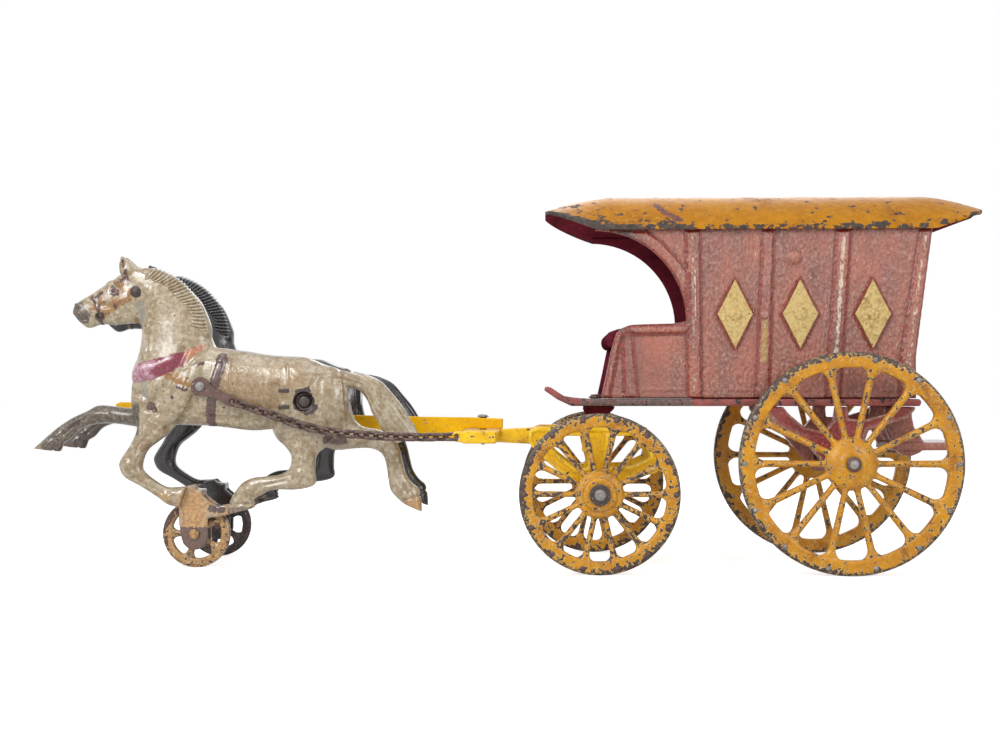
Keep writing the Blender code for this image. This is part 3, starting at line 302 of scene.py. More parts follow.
def turned(profile, steps, centre=(0, 0, 0)):
    # Turns a closed profile of (radius, y) points about an axis along Y through the centre
    shape = bmesh.new()
    rings = []
    for radius, height in profile:
        if radius == 0:
            rings.append([shape.verts.new((0, height, 0))] * steps)
            continue
        angles = [2 * math.pi * i / steps for i in range(steps)]
        rings.append([shape.verts.new((radius * math.cos(a), height, radius * math.sin(a)))
                      for a in angles])
    closed = profile[0][0] > 0
    for k in range(len(rings) if closed else len(rings) - 1):
        low, high = rings[k], rings[(k + 1) % len(rings)]
        for i in range(steps):
            j = (i + 1) % steps
            corners = list(dict.fromkeys((low[i], low[j], high[j], high[i])))
            if len(corners) > 2:
                shape.faces.new(corners)
    for vert in shape.verts:
        vert.co = [a + b for a, b in zip(vert.co, centre)]
    bmesh.ops.recalc_face_normals(shape, faces=shape.faces)
    return shape


def rod(radius, low, high, steps, centre):
    return turned([(0, low), (radius, low), (radius, high), (0, high)], steps, centre)


def bridge(shape, rings):
    # Joins each ring of corners to the next one with a band of faces
    for low, high in zip(rings, rings[1:]):
        for k in range(len(low)):
            j = (k + 1) % len(low)
            shape.faces.new((low[k], low[j], high[j], high[k]))


def joined(shapes):
    whole = bmesh.new()
    for shape in shapes:
        copies = {vert: whole.verts.new(vert.co) for vert in shape.verts}
        for face in shape.faces:
            whole.faces.new([copies[vert] for vert in face.verts])
        shape.free()
    return whole


def mirrorMesh(mesh):
    # The same mesh on the other side of the wagon
    made = mesh.copy()
    writeSpots(made, readSpots(made) * (1, -1, 1))
    made.flip_normals()
    return made


def bothSides(mesh):
    # The mesh as drawn for the near side, then its mirror image for the far one
    yield "left", -1, mesh.copy()
    yield "right", 1, mirrorMesh(mesh)


def readRows(mesh, what):
    rows = np.empty(len(mesh.vertices) * 3)
    mesh.vertices.foreach_get(what, rows)
    return rows.reshape(-1, 3)


def readSpots(mesh):
    return readRows(mesh, "co")


def writeSpots(mesh, spots):
    mesh.vertices.foreach_set("co", np.ascontiguousarray(spots).ravel())
    mesh.update()


def readNormals(mesh):
    return readRows(mesh, "normal")


def applied(thing, *used):
    # The object's mesh with its modifiers applied; the object and what it used go
    bpy.context.view_layer.update()
    graph = bpy.context.evaluated_depsgraph_get()
    made = bpy.data.meshes.new_from_object(thing.evaluated_get(graph))
    for old in (thing, *used):
        bpy.data.objects.remove(old, do_unlink=True)
    return made


def melted(mesh, size):
    # One skin over everything in the mesh, as a casting has
    thing = newObject("melting", mesh)
    melt = thing.modifiers.new("melt", "REMESH")
    melt.mode, melt.voxel_size, melt.use_smooth_shade = "VOXEL", size, True
    return applied(thing)


def cutWith(mesh, tool, operation="DIFFERENCE", solver="EXACT"):
    thing, cutter = newObject("cutting", mesh), newObject("cutter", meshFrom("cutter", tool))
    cut = thing.modifiers.new("cut", "BOOLEAN")
    cut.operation, cut.object, cut.solver = operation, cutter, solver
    return applied(thing, cutter)


def neighbourMean(pairs, counts, values):
    total = np.zeros_like(values)
    for k in range(values.shape[1]):
        column = values[:, k]
        total[:, k] = np.bincount(pairs[:, 0], column[pairs[:, 1]], len(values))
        total[:, k] += np.bincount(pairs[:, 1], column[pairs[:, 0]], len(values))
    return total / counts[:, None]


def readPairs(mesh):
    pairs = np.empty(len(mesh.edges) * 2, int)
    mesh.edges.foreach_get("vertices", pairs)
    pairs = pairs.reshape(-1, 2)
    counts = np.maximum(np.bincount(pairs.ravel(), minlength=len(mesh.vertices)), 1)
    return pairs, counts


def relaxed(mesh, rounds):
    # Rounds a mesh off; every second step swells it back, so it doesn't shrink
    pairs, counts = readPairs(mesh)
    spots = readSpots(mesh)
    for share in (0.5, -0.52) * rounds:
        spots += share * (neighbourMean(pairs, counts, spots) - spots)
    writeSpots(mesh, spots)
    return mesh


def setMark(mesh, name, values):
    mark = mesh.attributes.get(name) or mesh.attributes.new(name, "FLOAT", "POINT")
    mark.data.foreach_set("value", np.ascontiguousarray(values, dtype=np.float32))


def markEdges(mesh, rounds=5):
    # Stores how far each spot bulges (above 0) or sinks (below 0) against its surroundings
    pairs, counts = readPairs(mesh)
    spots = readSpots(mesh)
    normals = readNormals(mesh)
    pull = neighbourMean(pairs, counts, spots) - spots
    lengths = np.linalg.norm(spots[pairs[:, 0]] - spots[pairs[:, 1]], axis=1).mean()
    bulge = -(pull * normals).sum(1, keepdims=True) / max(lengths, 1e-9)
    for _ in range(rounds):
        bulge = 0.4 * bulge + 0.6 * neighbourMean(pairs, counts, bulge)
    setMark(mesh, "edge", bulge[:, 0])


def finishPiece(name, mesh, finish, body, slot, node=None, inside=None, smooth=True):
    # Shrinks a drawn mesh to metres and hands it to the frame
    writeSpots(mesh, readSpots(mesh) * mm)
    mesh.name = name
    which = np.zeros(len(mesh.polygons), np.int32)
    mesh.polygons.foreach_get("material_index", which)
    mesh.materials.clear()
    mesh.materials.append(finish)
    if inside:
        mesh.materials.append(inside)
        mesh.polygons.foreach_set("material_index", which)
    if smooth:
        mesh.shade_smooth()
    piece = newObject(name, mesh)
    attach(piece, body)
    if node:
        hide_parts(node)
    return piece


def nodeMesh(node):
    # A merged copy, in millimetres, of what the frame holds under this name
    whole = bmesh.new()
    whole.from_mesh(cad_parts[node].data)
    bmesh.ops.remove_doubles(whole, verts=whole.verts, dist=1e-7)
    bmesh.ops.scale(whole, vec=(1000, 1000, 1000), verts=whole.verts)
    made = meshFrom("copy", whole)
    for mark in list(made.attributes):
        if mark.name in ("UVMap", "sharp_face", "custom_normal"):
            made.attributes.remove(mark)
    return made


def castingFrom(node, size, rounds=3):
    # A rounded, slightly uneven casting made from a node of the frame
    mesh = melted(nodeMesh(node), size)
    relaxed(mesh, rounds)
    markEdges(mesh)
    return mesh


def nearPath(spots, path):
    # Distance in the XZ plane from every spot to a line of points
    flat = spots[:, [0, 2]]
    least = np.full(len(flat), 1e9)
    points = [np.array(p, float) for p in path]
    if len(points) == 1:
        return np.linalg.norm(flat - points[0], axis=1)
    for a, b in zip(points, points[1:]):
        run = b - a
        share = np.clip(((flat - a) @ run) / max(run @ run, 1e-9), 0, 1)
        least = np.minimum(least, np.linalg.norm(flat - (a + share[:, None] * run), axis=1))
    return least


def depthInside(spots, outline):
    # Distance to an outline in the XZ plane, above 0 inside it
    flat = spots[:, [0, 2]]
    least = nearPath(spots, list(outline) + [outline[0]])
    inside = np.zeros(len(flat), bool)
    for (ax, az), (bx, bz) in zip(outline, outline[1:] + outline[:1]):
        if az == bz:
            continue
        crosses = (az > flat[:, 1]) != (bz > flat[:, 1])
        inside ^= crosses & (flat[:, 0] < (bx - ax) * (flat[:, 1] - az) / (bz - az) + ax)
    return np.where(inside, least, -least)


def easing(value):
    value = np.clip(value, 0, 1)
    return value * value * (3 - 2 * value)


def nearLine(values, line, width):
    # 1 on the line, falling to 0 at its width on both sides
    return np.clip(1 - np.abs(values - line) / width, 0, 1)


def besidePath(spots, path, reach, fade):
    return easing((reach - nearPath(spots, path)) / fade)


def arc(centreX, centreZ, radius, start, end, steps):
    angles = [math.radians(start + (end - start) * i / steps) for i in range(steps + 1)]
    return [(centreX + radius * math.cos(a), centreZ + radius * math.sin(a)) for a in angles]


print("shaping helpers are ready")


def repeatTree():
    # One Geometry Nodes tree for everything that repeats along a path
    tree = bpy.data.node_groups.new("repeatAlong", "GeometryNodeTree")
    wanted = {"Path": "Geometry", "Shape": "Object", "Count": "Int", "Slant": "Float",
              "Turn Each": "Float", "Jitter": "Float", "Smallest": "Float", "Seed": "Int",
              "Material": "Material"}
    ends = {}
    for label, kind in wanted.items():
        ends[label] = tree.interface.new_socket(label, in_out="INPUT",
                                                socket_type="NodeSocket" + kind)
    tree.interface.new_socket("Mesh", in_out="OUTPUT", socket_type="NodeSocketGeometry")
    given = tree.nodes.new("NodeGroupInput").outputs
    result = tree.nodes.new("NodeGroupOutput")

    def add(kind, inputs=None, output=0, **settings):
        return addNode(tree, kind, inputs, **settings).outputs[output]

    spread = add("GeometryNodeResampleCurve", {"Curve": given["Path"], "Count": given["Count"]})
    aim = add("FunctionNodeAlignRotationToVector", {"Vector": add("GeometryNodeInputTangent")},
              axis="X", pivot_axis="Y")
    swing = times(tree, add("GeometryNodeInputIndex"), given["Turn Each"])
    # Sockets 2 and 3 of a random value are the least and most of its float, output 1
    chance = add("FunctionNodeRandomValue", {2: times(tree, given["Jitter"], -1),
                                             3: given["Jitter"], "Seed": given["Seed"]},
                 output=1, data_type="FLOAT")
    roll = add("CombineXYZ", {"X": swing, "Y": plus(tree, chance, given["Slant"])})
    turn = add("FunctionNodeRotateRotation",
               {0: aim, 1: add("FunctionNodeEulerToRotation", {0: roll})}, rotation_space="LOCAL")
    size = add("FunctionNodeRandomValue", {2: given["Smallest"], 3: 1.0, "Seed": given["Seed"]},
               output=1, data_type="FLOAT")
    model = addNode(tree, "GeometryNodeObjectInfo", {"Object": given["Shape"]})
    spots = add("GeometryNodeInstanceOnPoints", {"Points": spread, "Rotation": turn, "Scale": size,
                                                 "Instance": model.outputs["Geometry"]})
    real = add("GeometryNodeRealizeInstances", {0: spots})
    finish = add("GeometryNodeSetMaterial", {"Geometry": real, "Material": given["Material"]})
    tree.links.new(finish, result.inputs[0])
    return tree, {label: end.identifier for label, end in ends.items()}


repeating, repeatEnds = repeatTree()


def repeatAlong(path, shape, count, material, closed=False, **values):
    # Repeats a small shape along a path of points and returns the plain mesh
    curve = bpy.data.curves.new("path", "CURVE")
    curve.dimensions = "3D"
    line = curve.splines.new("POLY")
    line.points.add(len(path) - 1)
    for point, spot in zip(line.points, path):
        point.co = (*spot, 1)
    line.use_cyclic_u = closed
    holder = newObject("path", curve)
    model = newObject("model", meshFrom("model", shape))
    grow = holder.modifiers.new("repeat", "NODES")
    grow.node_group = repeating
    wanted = {"Shape": model, "Count": count, "Slant": 0.0, "Turn Each": 0.0, "Jitter": 0.0,
              "Smallest": 1.0, "Seed": 7, "Material": material, **values}
    for label, value in wanted.items():
        grow[repeatEnds[label]] = value
    return applied(holder, model)


def joinMeshes(name, meshes):
    whole = bmesh.new()
    for mesh in meshes:
        whole.from_mesh(mesh)
    return meshFrom(name, whole)


def moveMesh(mesh, offset):
    writeSpots(mesh, readSpots(mesh) + np.array(offset))
    return mesh


print("the repeating tree is ready")

# Finishes: colours are sRGB from 0 to 255, sizes are in millimetres
# The body's dark line beside the ribs is a painted shadow
bodyPaint = paintedIron("bodyPaint", paint=(172, 102, 84), shade=(134, 86, 76),
    grime=(98, 54, 46), metal=(108, 92, 88), metalShade=(84, 68, 66), primer=(206, 160, 144),
    wornColour=(214, 190, 168), chipAt=0.71, toneSize=20, grainSize=0.7, bump=0.34, rough=0.19,
    wornAt=0.66, wornEdge=0.16, hollowGrime=0.9, stretch=(1.4, 1.4, 0.6), rub=0.5,
    rubColour=(188, 152, 136), rubDark=(118, 74, 64), pebble=2.2, pebbleSize=1.6, shine=0.5,
    pebbleStretch=(1.4, 1.4, 0.85), ragged=0.34, coat=0.35, soft=("shadowLine", "ochre"),
    marks=(("deepRed", (146, 54, 36), (118, 44, 34)), ("shadowLine", (100, 54, 46), (82, 46, 42)),
    ("ochre", (186, 150, 88), (150, 112, 64)), ("redInset", (160, 62, 56), (136, 52, 50))))
# This finish's darkest colour is painted shade, laid over the seat's front
insidePaint = paintedIron("insidePaint", paint=(134, 48, 62), shade=(108, 40, 52),
    grime=(76, 34, 42), metal=(84, 54, 56), primer=(140, 84, 84), chipAt=0.7, rough=0.4,
    wornColour=(168, 116, 112), wornAt=0.68, edgeWear=0.0, shine=0.0, soot=(72, 26, 38))
floorPaintRed = paintedIron("floorRed", paint=(160, 78, 72), shade=(126, 66, 62),
    grime=(60, 40, 42), metal=(74, 66, 66), primer=(190, 120, 116), chipAt=0.58, rough=0.45,
    wornColour=(196, 132, 128), edgeWear=0.3, marks=(("greyEdge", (104, 90, 84), (72, 60, 56)),))
roofPaint = paintedIron("roofPaint", paint=(190, 128, 8), shade=(172, 110, 12),
    grime=(138, 88, 34), metal=(92, 82, 76), metalShade=(62, 54, 52), primer=(160, 104, 60),
    chipAt=0.617, chipSize=4.4, toneSize=18, wornColour=(176, 140, 104), rough=0.36, bump=0.1,
    edgeWear=0.1, primerWidth=0.01, wornAt=0.66, rub=0.3, rubColour=(214, 160, 60),
    rubDark=(160, 96, 20), pebbleSize=2.6, shine=0.12, marks=(("scar", (128, 84, 74),
    (98, 66, 62)),))
wheelPaint = paintedIron("wheelPaint", paint=(212, 150, 24), shade=(186, 122, 26),
    grime=(116, 70, 30), metal=(98, 84, 76), metalShade=(66, 54, 50), primer=(236, 206, 138),
    chipAt=0.615, chipSize=1.7, edgeWear=0.16, primerWidth=0.045, rough=0.3, bump=0.14,
    wornAt=0.645, wornColour=(238, 204, 140), coat=0.15, shine=0.3, ragged=0.4, marks=(("tyre",
    (98, 84, 74), (66, 56, 50)),))
truckPaint = paintedIron("truckPaint", paint=(252, 206, 20), shade=(232, 180, 16),
    grime=(160, 112, 24), metal=(86, 66, 44), metalShade=(60, 46, 36), primer=(232, 212, 140),
    chipAt=0.64, chipSize=2.2, edgeWear=0.16, rough=0.28, bump=0.12, wornAt=0.62, wornEdge=0.14,
    coat=0.2, shine=0.35, wornColour=(252, 228, 110), marks=(("inset", (244, 192, 12),
    (218, 162, 12)),))
polePaint = paintedIron("polePaint", paint=(238, 182, 0), shade=(228, 170, 4),
    grime=(176, 128, 16), metal=(96, 74, 44), metalShade=(70, 54, 38), primer=(238, 220, 140),
    chipAt=0.665, chipSize=2.4, edgeWear=0.12, rough=0.26, bump=0.08, hollowGrime=0.5, shine=0.25)
giltPaint = paintedIron("giltPaint", paint=(206, 178, 112), shade=(190, 158, 92),
    grime=(128, 98, 56), metal=(110, 88, 58), metalShade=(84, 66, 48), primer=(226, 208, 160),
    chipAt=0.66, chipSize=1.8, toneSize=5, grainSize=0.35, bump=0.22, rough=0.34, metalness=0.4,
    rub=0.75, rubColour=(222, 198, 136), rubDark=(158, 126, 70), pebble=1.2, pebbleSize=0.9)
brownIron = paintedIron("brownIron", paint=(104, 74, 66), shade=(82, 60, 56), grime=(52, 38, 36),
    metal=(122, 100, 92), metalShade=(92, 74, 70), primer=(132, 104, 92), chipAt=0.6,
    chipSize=1.6, toneSize=4, rough=0.45, bump=0.12, edgeWear=0.2, metalness=0.5,
    marks=(("bright", (168, 164, 158), (122, 116, 112)),))
chainIron = paintedIron("chainIron", paint=(88, 62, 56), shade=(62, 46, 44), grime=(40, 30, 28),
    metal=(132, 108, 98), metalShade=(96, 78, 72), primer=(116, 90, 80), chipAt=0.62,
    chipSize=1.4, toneSize=3, rough=0.34, bump=0.12, edgeWear=0.22, metalness=0.5)
rivetPaint = paintedIron("rivetPaint", paint=(196, 142, 130), shade=(170, 112, 102),
    grime=(110, 66, 60), metal=(130, 116, 110), chipAt=0.66, chipSize=1.2, rough=0.2, coat=0.4)
sootyIron = paintedIron("sootyIron", paint=(74, 62, 56), shade=(52, 44, 42), grime=(40, 32, 30),
    metal=(120, 108, 100), metalShade=(90, 78, 72), primer=(110, 92, 82), chipAt=0.6,
    chipSize=1.2, toneSize=3, rough=0.3, metalness=0.7)
bareSteel = paintedIron("bareSteel", paint=(150, 146, 142), shade=(112, 106, 104),
    grime=(70, 60, 56), metal=(182, 180, 176), metalShade=(140, 136, 132), primer=(160, 154, 150),
    chipAt=0.56, toneSize=2.5, chipSize=1.2, rough=0.34, metalness=0.9, bump=0.1)

# Rounded as sand castings are, each from its node: voxel size, finish, body and slot
castingPlan = {
    "truckCasting": ("truck_casting", 0.46, truckPaint, "front_truck", "truck_paint"),
    "poleBeam": ("pole", 0.4, polePaint, "front_truck", "pole_paint"),
    "wagonFloor": ("floor", 0.55, floorPaintRed, "wagon", "floor_paint"),
    "driverSeat": ("driver_seat", 0.5, insidePaint, "wagon", "inside_paint"),
    "tailStep": ("tail_step", 0.46, bodyPaint, "wagon", "body_paint"),
    "frontBolster": ("front_bolster", 0.4, insidePaint, "wagon", "body_paint"),
    "leftRearSpring": ("left_rear_spring", 0.36, bodyPaint, "wagon", "body_paint"),
    "rightRearSpring": ("right_rear_spring", 0.36, bodyPaint, "wagon", "body_paint"),
}

springOutline = [(106.3, 68), (106.3, 65), (110.9, 58.7), (121.5, 53.2), (126.2, 47.4),
    *arc(137, 44.2, 6.4, 208, 332, 9), (145, 50), (147.5, 57), (163, 61.7), (166.3, 65.6),
    (166.3, 68), (160, 68), (157, 64.6), (147, 61.5), (139.6, 61.6), (139.2, 68), (134.2, 68),
    (133.4, 61), (129.6, 56.4), (121.5, 58.4), (115.6, 63.4), (113, 68)]
plateOutline = [(9.5, 52.5), (11.2, 49.6), (17, 44), (25, 37.2), (30, 33.5),
    *arc(38, 32, 6.2, 200, 340, 9), (47, 33.6), (52, 36.6), (62, 39.4), (66.2, 43), (65.6, 48.6),
    (60.2, 52), (58, 57.6), (29, 57.6), (14, 57.6), (10, 56.8)]
plateWindows = [[(17.2, 50.6), (20.6, 52.4), (25, 54), (33.4, 54), (34, 41.4), (29.4, 40.6),
    (23, 45.6)], [(42, 41.4), (42.6, 54), (53.6, 54), (58.4, 48.8), (59.6, 45.6), (52, 42)]]


def sunkPlates(mesh, outline, windows, plane, mark, rim=1.1, deep=0.55):
    # Sinks the outer face of a plate inside its rim, as the casting has it
    spots = readSpots(mesh)
    depth = depthInside(spots, outline)
    for window in windows:
        depth = np.minimum(depth, -depthInside(spots, window))
    outer = np.abs(spots[:, 1]) > plane - 0.5
    outer &= np.abs(spots[:, 1]) < plane + 0.2
    share = easing((depth - rim) / 0.6) * outer
    spots[:, 1] -= np.sign(spots[:, 1]) * deep * share
    writeSpots(mesh, spots)
    setMark(mesh, mark, share)
    setMark(mesh, "worn", 0.22 * outer * nearLine(depth, 0.5, 0.6))
    markEdges(mesh)


def isOutside(spots, front, rear, out):
    # Between front and rear along X, and further out than this on either side
    return (spots[:, 0] > front) & (spots[:, 0] < rear) & (np.abs(spots[:, 1]) > out)


areas = {"floorEdge": (30, 76, 24), "crossbar": (-24, 2, 13), "underSeat": 52}

for pieceName, (node, size, finish, body, slotName) in castingPlan.items():
    shape = castingFrom(node, size)
    spots = readSpots(shape)
    if "Spring" in pieceName:
        sunkPlates(shape, springOutline, [], plane=26.0, mark="redInset")
    if pieceName == "truckCasting":
        sunkPlates(shape, plateOutline, plateWindows, plane=22.0, mark="inset", rim=1.0)
    if pieceName == "wagonFloor":
        setMark(shape, "greyEdge", 0.62 * isOutside(spots, *areas["floorEdge"]))
    # Painted shade over the front part of the seat
    if pieceName == "driverSeat":
        setMark(shape, "soot", 0.85 * (spots[:, 0] < areas["underSeat"]))
    if pieceName == "poleBeam":
        setMark(shape, "worn", 0.2 * isOutside(spots, *areas["crossbar"]))
    finishPiece(pieceName, shape, finish, body, slotName, node)
    print(pieceName, len(shape.polygons), "faces")

# A station is a section through a limb: two points on the outline, half its thickness, and how
# far its middle stands out from the horse's own plane

horsePlan = {
    "plane": 21.0, "skin": 0.52, "pinSpots": ((-145.5, 65.9), (-82.0, 68.6)), "pinHead": 3.0,
    "wheelSpot": (-127.8, 14.0), "halfWidth": 9.2, "steps": 5, "sides": 28, "full": 0.9,
    "muscle": 1.45,
}

torso = [(-154, 78.6, -154.6, 66, 4.4, 0), (-151, 84, -152, 60.5, 7, 0),
    (-143, 89, -143.5, 58.9, 8.6, 0), (-132, 91.6, -132.5, 58.8, 8.9, 0),
    (-118.5, 91, -119.3, 58.2, 9, 0), (-105, 88.9, -105, 56.5, 8.6, 0),
    (-93.8, 87.6, -94.5, 57, 8.7, 0), (-82.5, 86.9, -84, 55, 9.1, 0),
    (-75, 84.1, -76, 52, 8.7, 0), (-69, 82, -69, 54, 7.7, 0), (-64.6, 77.5, -64.8, 62, 4.6, 0)]
neck = [(-153, 72, -117, 84, 8.2, 0), (-155.2, 79.4, -120.4, 92.2, 8.1, 0),
    (-152.6, 87, -121.6, 95.5, 7.4, 0), (-151.6, 91, -121.6, 99, 6.9, 0),
    (-151.2, 95.5, -123.4, 104.5, 6.4, 0), (-151.2, 99.5, -126.2, 110, 5.9, 0),
    (-153.5, 104.5, -131, 115, 5.5, 0), (-155.5, 109.5, -136.8, 119.8, 5.2, 0),
    (-157.5, 114, -142.6, 122.4, 4.9, 0), (-159, 119, -149, 124.2, 4.3, 0)]
head = [(-151.5, 124.6, -149.5, 108.5, 4.2, 0), (-157.8, 122.8, -151.2, 101.6, 4.8, 0),
    (-163, 119.2, -156.4, 100.9, 4.6, 0), (-168, 116, -162.4, 100.4, 4.1, 0),
    (-172.4, 113, -168, 100.5, 3.6, 0), (-176.4, 110.8, -171.2, 99.4, 3.5, 0),
    (-179.2, 108.4, -173.8, 99.2, 3.2, 0), (-180.1, 105.6, -176.6, 101.4, 2.2, 0)]
ear = [(-159.6, 121, -151.6, 122.5, 1.9, 2.6), (-159.9, 125, -154.6, 126, 1.4, 2.8),
    (-159.2, 128.8, -158.2, 128.8, 0.6, 2.6)]
tail = [(-72, 82.6, -69, 74, 3.4, 0), (-64.7, 80.9, -63.8, 74.4, 3.2, 0),
    (-60, 80.1, -61.8, 73.9, 3, 0), (-55, 78.75, -59, 71.8, 3, 0),
    (-50.6, 76.4, -56.6, 68.2, 3, 0), (-46.4, 71.6, -55.2, 64, 2.9, 0),
    (-42.4, 66.7, -52.8, 60.2, 2.8, 0), (-39.1, 61.25, -50.5, 56, 2.6, 0),
    (-35.3, 54.7, -45, 51, 2, 0)]
reachingForeleg = [(-148, 68, -148, 57, 4.2, -3.4), (-157, 66, -156, 58.2, 4, -4.4),
    (-163, 66.5, -163, 59.2, 3.6, -4.8), (-170.4, 67, -169.6, 59.3, 3.4, -4.8),
    (-175.4, 64.6, -174, 58.5, 3.1, -4.8), (-181.4, 61.8, -178.8, 56.6, 2.6, -4.8),
    (-187.1, 58.2, -182.2, 52.9, 2.5, -4.8), (-190.8, 55.2, -185, 51.3, 2.8, -4.8),
    (-194.3, 52.1, -185.4, 50.2, 3.2, -4.8), (-198, 48.9, -186.4, 47.5, 3.3, -4.8)]
foldedForeleg = [(-154, 72, -137, 72, 6, 2.2), (-152.8, 63, -135, 61, 5.2, 3.4),
    (-151.8, 57, -138.6, 55.4, 4.6, 4.2), (-154.3, 50.7, -142.8, 52, 4.2, 4.8),
    (-157.3, 46, -147, 48.4, 3.9, 5.2), (-158.8, 42.4, -148.9, 42.6, 3.6, 5.2),
    (-156.6, 37.6, -147.9, 39.6, 3.2, 5.2), (-150, 33.8, -144.6, 36.8, 2.8, 5.2),
    (-142.9, 29.3, -139.3, 33.7, 2.6, 5.2), (-138.6, 26.2, -135.6, 33.5, 2.9, 5.2),
    (-133.6, 25, -130.6, 33.9, 3, 5.2)]
foldedHindleg = [(-95, 68, -70, 70, 7.2, 1.6), (-96, 58.6, -70.5, 57, 6.4, 2.6),
    (-94, 53.6, -73, 50.6, 5, 3.8), (-90.4, 50.4, -76.4, 47.6, 4.3, 4.6),
    (-87.7, 46.4, -77.5, 44.6, 3.9, 5), (-88.2, 41.8, -77.7, 39.6, 3.5, 5.2),
    (-90.6, 39.4, -77.8, 34.6, 3.2, 5.2), (-94.5, 38.3, -85, 32.5, 3, 5.2),
    (-99, 37.9, -95, 32.4, 2.7, 5.2), (-103.6, 37.3, -99, 30.6, 2.6, 5.2),
    (-107.6, 35.4, -102.6, 28.8, 2.8, 5.2), (-110.4, 32.2, -102.9, 27.8, 3, 5.2),
    (-113.1, 27.4, -101.9, 26.2, 3.2, 5.2), (-113.9, 22.4, -103.6, 24.7, 3.2, 5.2)]
reachingHindleg = [(-78, 51, -64.6, 70, 6, -1), (-70.4, 48.4, -62.6, 61.6, 5.2, -2.4),
    (-63.75, 48.9, -58.8, 58.2, 4.4, -3.4), (-57, 49.2, -52.6, 57, 3.9, -4),
    (-52.3, 47.6, -46.4, 53.4, 3.5, -4.4), (-50.3, 44.6, -44, 48.6, 3.1, -4.8),
    (-49.4, 40.6, -42.8, 43.8, 2.9, -4.8), (-48.75, 35.8, -41.4, 38.6, 2.7, -4.8),
    (-47.8, 31.6, -38.9, 34.9, 2.9, -4.8), (-44.6, 27.9, -36, 32.2, 3, -4.8),
    (-41.4, 25.5, -35, 27.6, 3.1, -4.8), (-37.6, 24, -34.7, 22.8, 3, -4.8)]
maneRoot = [(-146.5, 124.4, -148.5, 119.5, 2.6, 0), (-141.5, 121.6, -144, 117.5, 2.8, 0),
    (-134.8, 118.2, -138.4, 114.5, 3, 0), (-129.5, 113.4, -133.4, 110, 3.2, 0),
    (-125.7, 108.4, -130, 105.6, 3.4, 0), (-123.2, 102.8, -127.8, 100.6, 3.8, 0),
    (-121.6, 96.4, -126.6, 95.2, 4.4, 0)]
collarRoll = [(-153.4, 77.2, -151.6, 84.4, 1.5, 5.6), (-150.4, 76.6, -149.4, 85, 1.7, 6.8),
    (-143, 78.4, -144.2, 85.6, 1.7, 7.4), (-136.6, 81.4, -138.8, 87.2, 1.6, 7),
    (-129.6, 86, -131.8, 89.2, 1.4, 5.8), (-123.8, 90.4, -125.2, 91.8, 1.2, 3.4)]


def between(a, b, c, d, t):
    # A smooth curve through b and c
    return 0.5 * (2 * b + (c - a) * t + (2 * a - 5 * b + 4 * c - d) * t ** 2
                  + (3 * b - a - 3 * c + d) * t ** 3)


def smoothPath(path, steps=6):
    rows = [tuple(p) for p in path]
    last = len(rows) - 1
    made = []
    for i in range(last):
        around = [rows[max(i - 1, 0)], rows[i], rows[i + 1], rows[min(i + 2, last)]]
        made += [tuple(between(*values, k / steps) for values in zip(*around))
                 for k in range(steps)]
    return made + [rows[-1]]


def limb(stations):
    # A full value below 1 squares the section a little, as flat toy castings are
    sides = horsePlan["sides"]
    shape = bmesh.new()
    rings = []
    for xa, za, xb, zb, half, out in smoothPath(stations, horsePlan["steps"]):
        middle = Vector(((xa + xb) / 2, -out, (za + zb) / 2))
        reach = Vector(((xb - xa) / 2, 0, (zb - za) / 2))
        ring = []
        for k in range(sides):
            turn = 2 * math.pi * k / sides
            swing, rise = math.cos(turn), math.sin(turn)
            rise = math.copysign(abs(rise) ** horsePlan["full"], rise)
            ring.append(shape.verts.new(middle + reach * swing + Vector((0, half * rise, 0))))
        rings.append(ring)
    bridge(shape, rings)
    shape.faces.new(rings[0][::-1])
    shape.faces.new(rings[-1])
    bmesh.ops.recalc_face_normals(shape, faces=shape.faces)
    return shape


def otherSide(stations):
    return [(*row, -out) for *row, out in stations]


def bracketShapes():
    # The bracket cast between the two folded feet, over the small wheel
    x, z = horsePlan["wheelSpot"]
    foot = arc(x, z - 1.0, 5.5, 185, 355, 14)
    outline = [(-134.4, 33.0), (-134.4, 18.6), *foot, (x + 5.5, 20.7), (-118.0, 21.0),
               (-110.0, 23.0), (-110.0, 26.6), (-119.0, 25.4), (-123.0, 28.4), (-129.6, 34.2)]
    plates = [slab(outline, y - 0.9, y + 0.9) for y in (-3.4, 3.4)]
    crown = slab([(-133.0, 29.2), (-124.6, 29.2), (-124.6, 32.4), (-133.0, 32.4)], -4.2, 4.2)
    return [*plates, crown]


def sculpt(mesh, strokes):
    # A stroke raises or sinks the skin beside a path: path, reach, height, flat share, faces
    for path, wide, height, flat, sides in strokes:
        spots, normals = readSpots(mesh), readNormals(mesh)
        facing = -normals[:, 1] if sides == "outer" else np.abs(normals[:, 1])
        if sides == "all":
            facing = np.ones(len(spots))
        away = nearPath(spots, smoothPath(path) if len(path) > 1 else path)
        share = easing((wide - away) / (wide * (1 - flat)))
        spots += normals * (share * easing(facing * 2.2) * height)[:, None]
        writeSpots(mesh, spots)


def markPaths(mesh, name, bands, border=1.2):
    # 1 well inside a band, 0.5 at its border, 0 outside
    spots = readSpots(mesh)
    value = np.zeros(len(spots))
    for path, wide in bands:
        away = nearPath(spots, smoothPath(path) if len(path) > 1 else path)
        value = np.maximum(value, np.clip((wide - away) / border + 0.5, 0, 1))
    setMark(mesh, name, value)


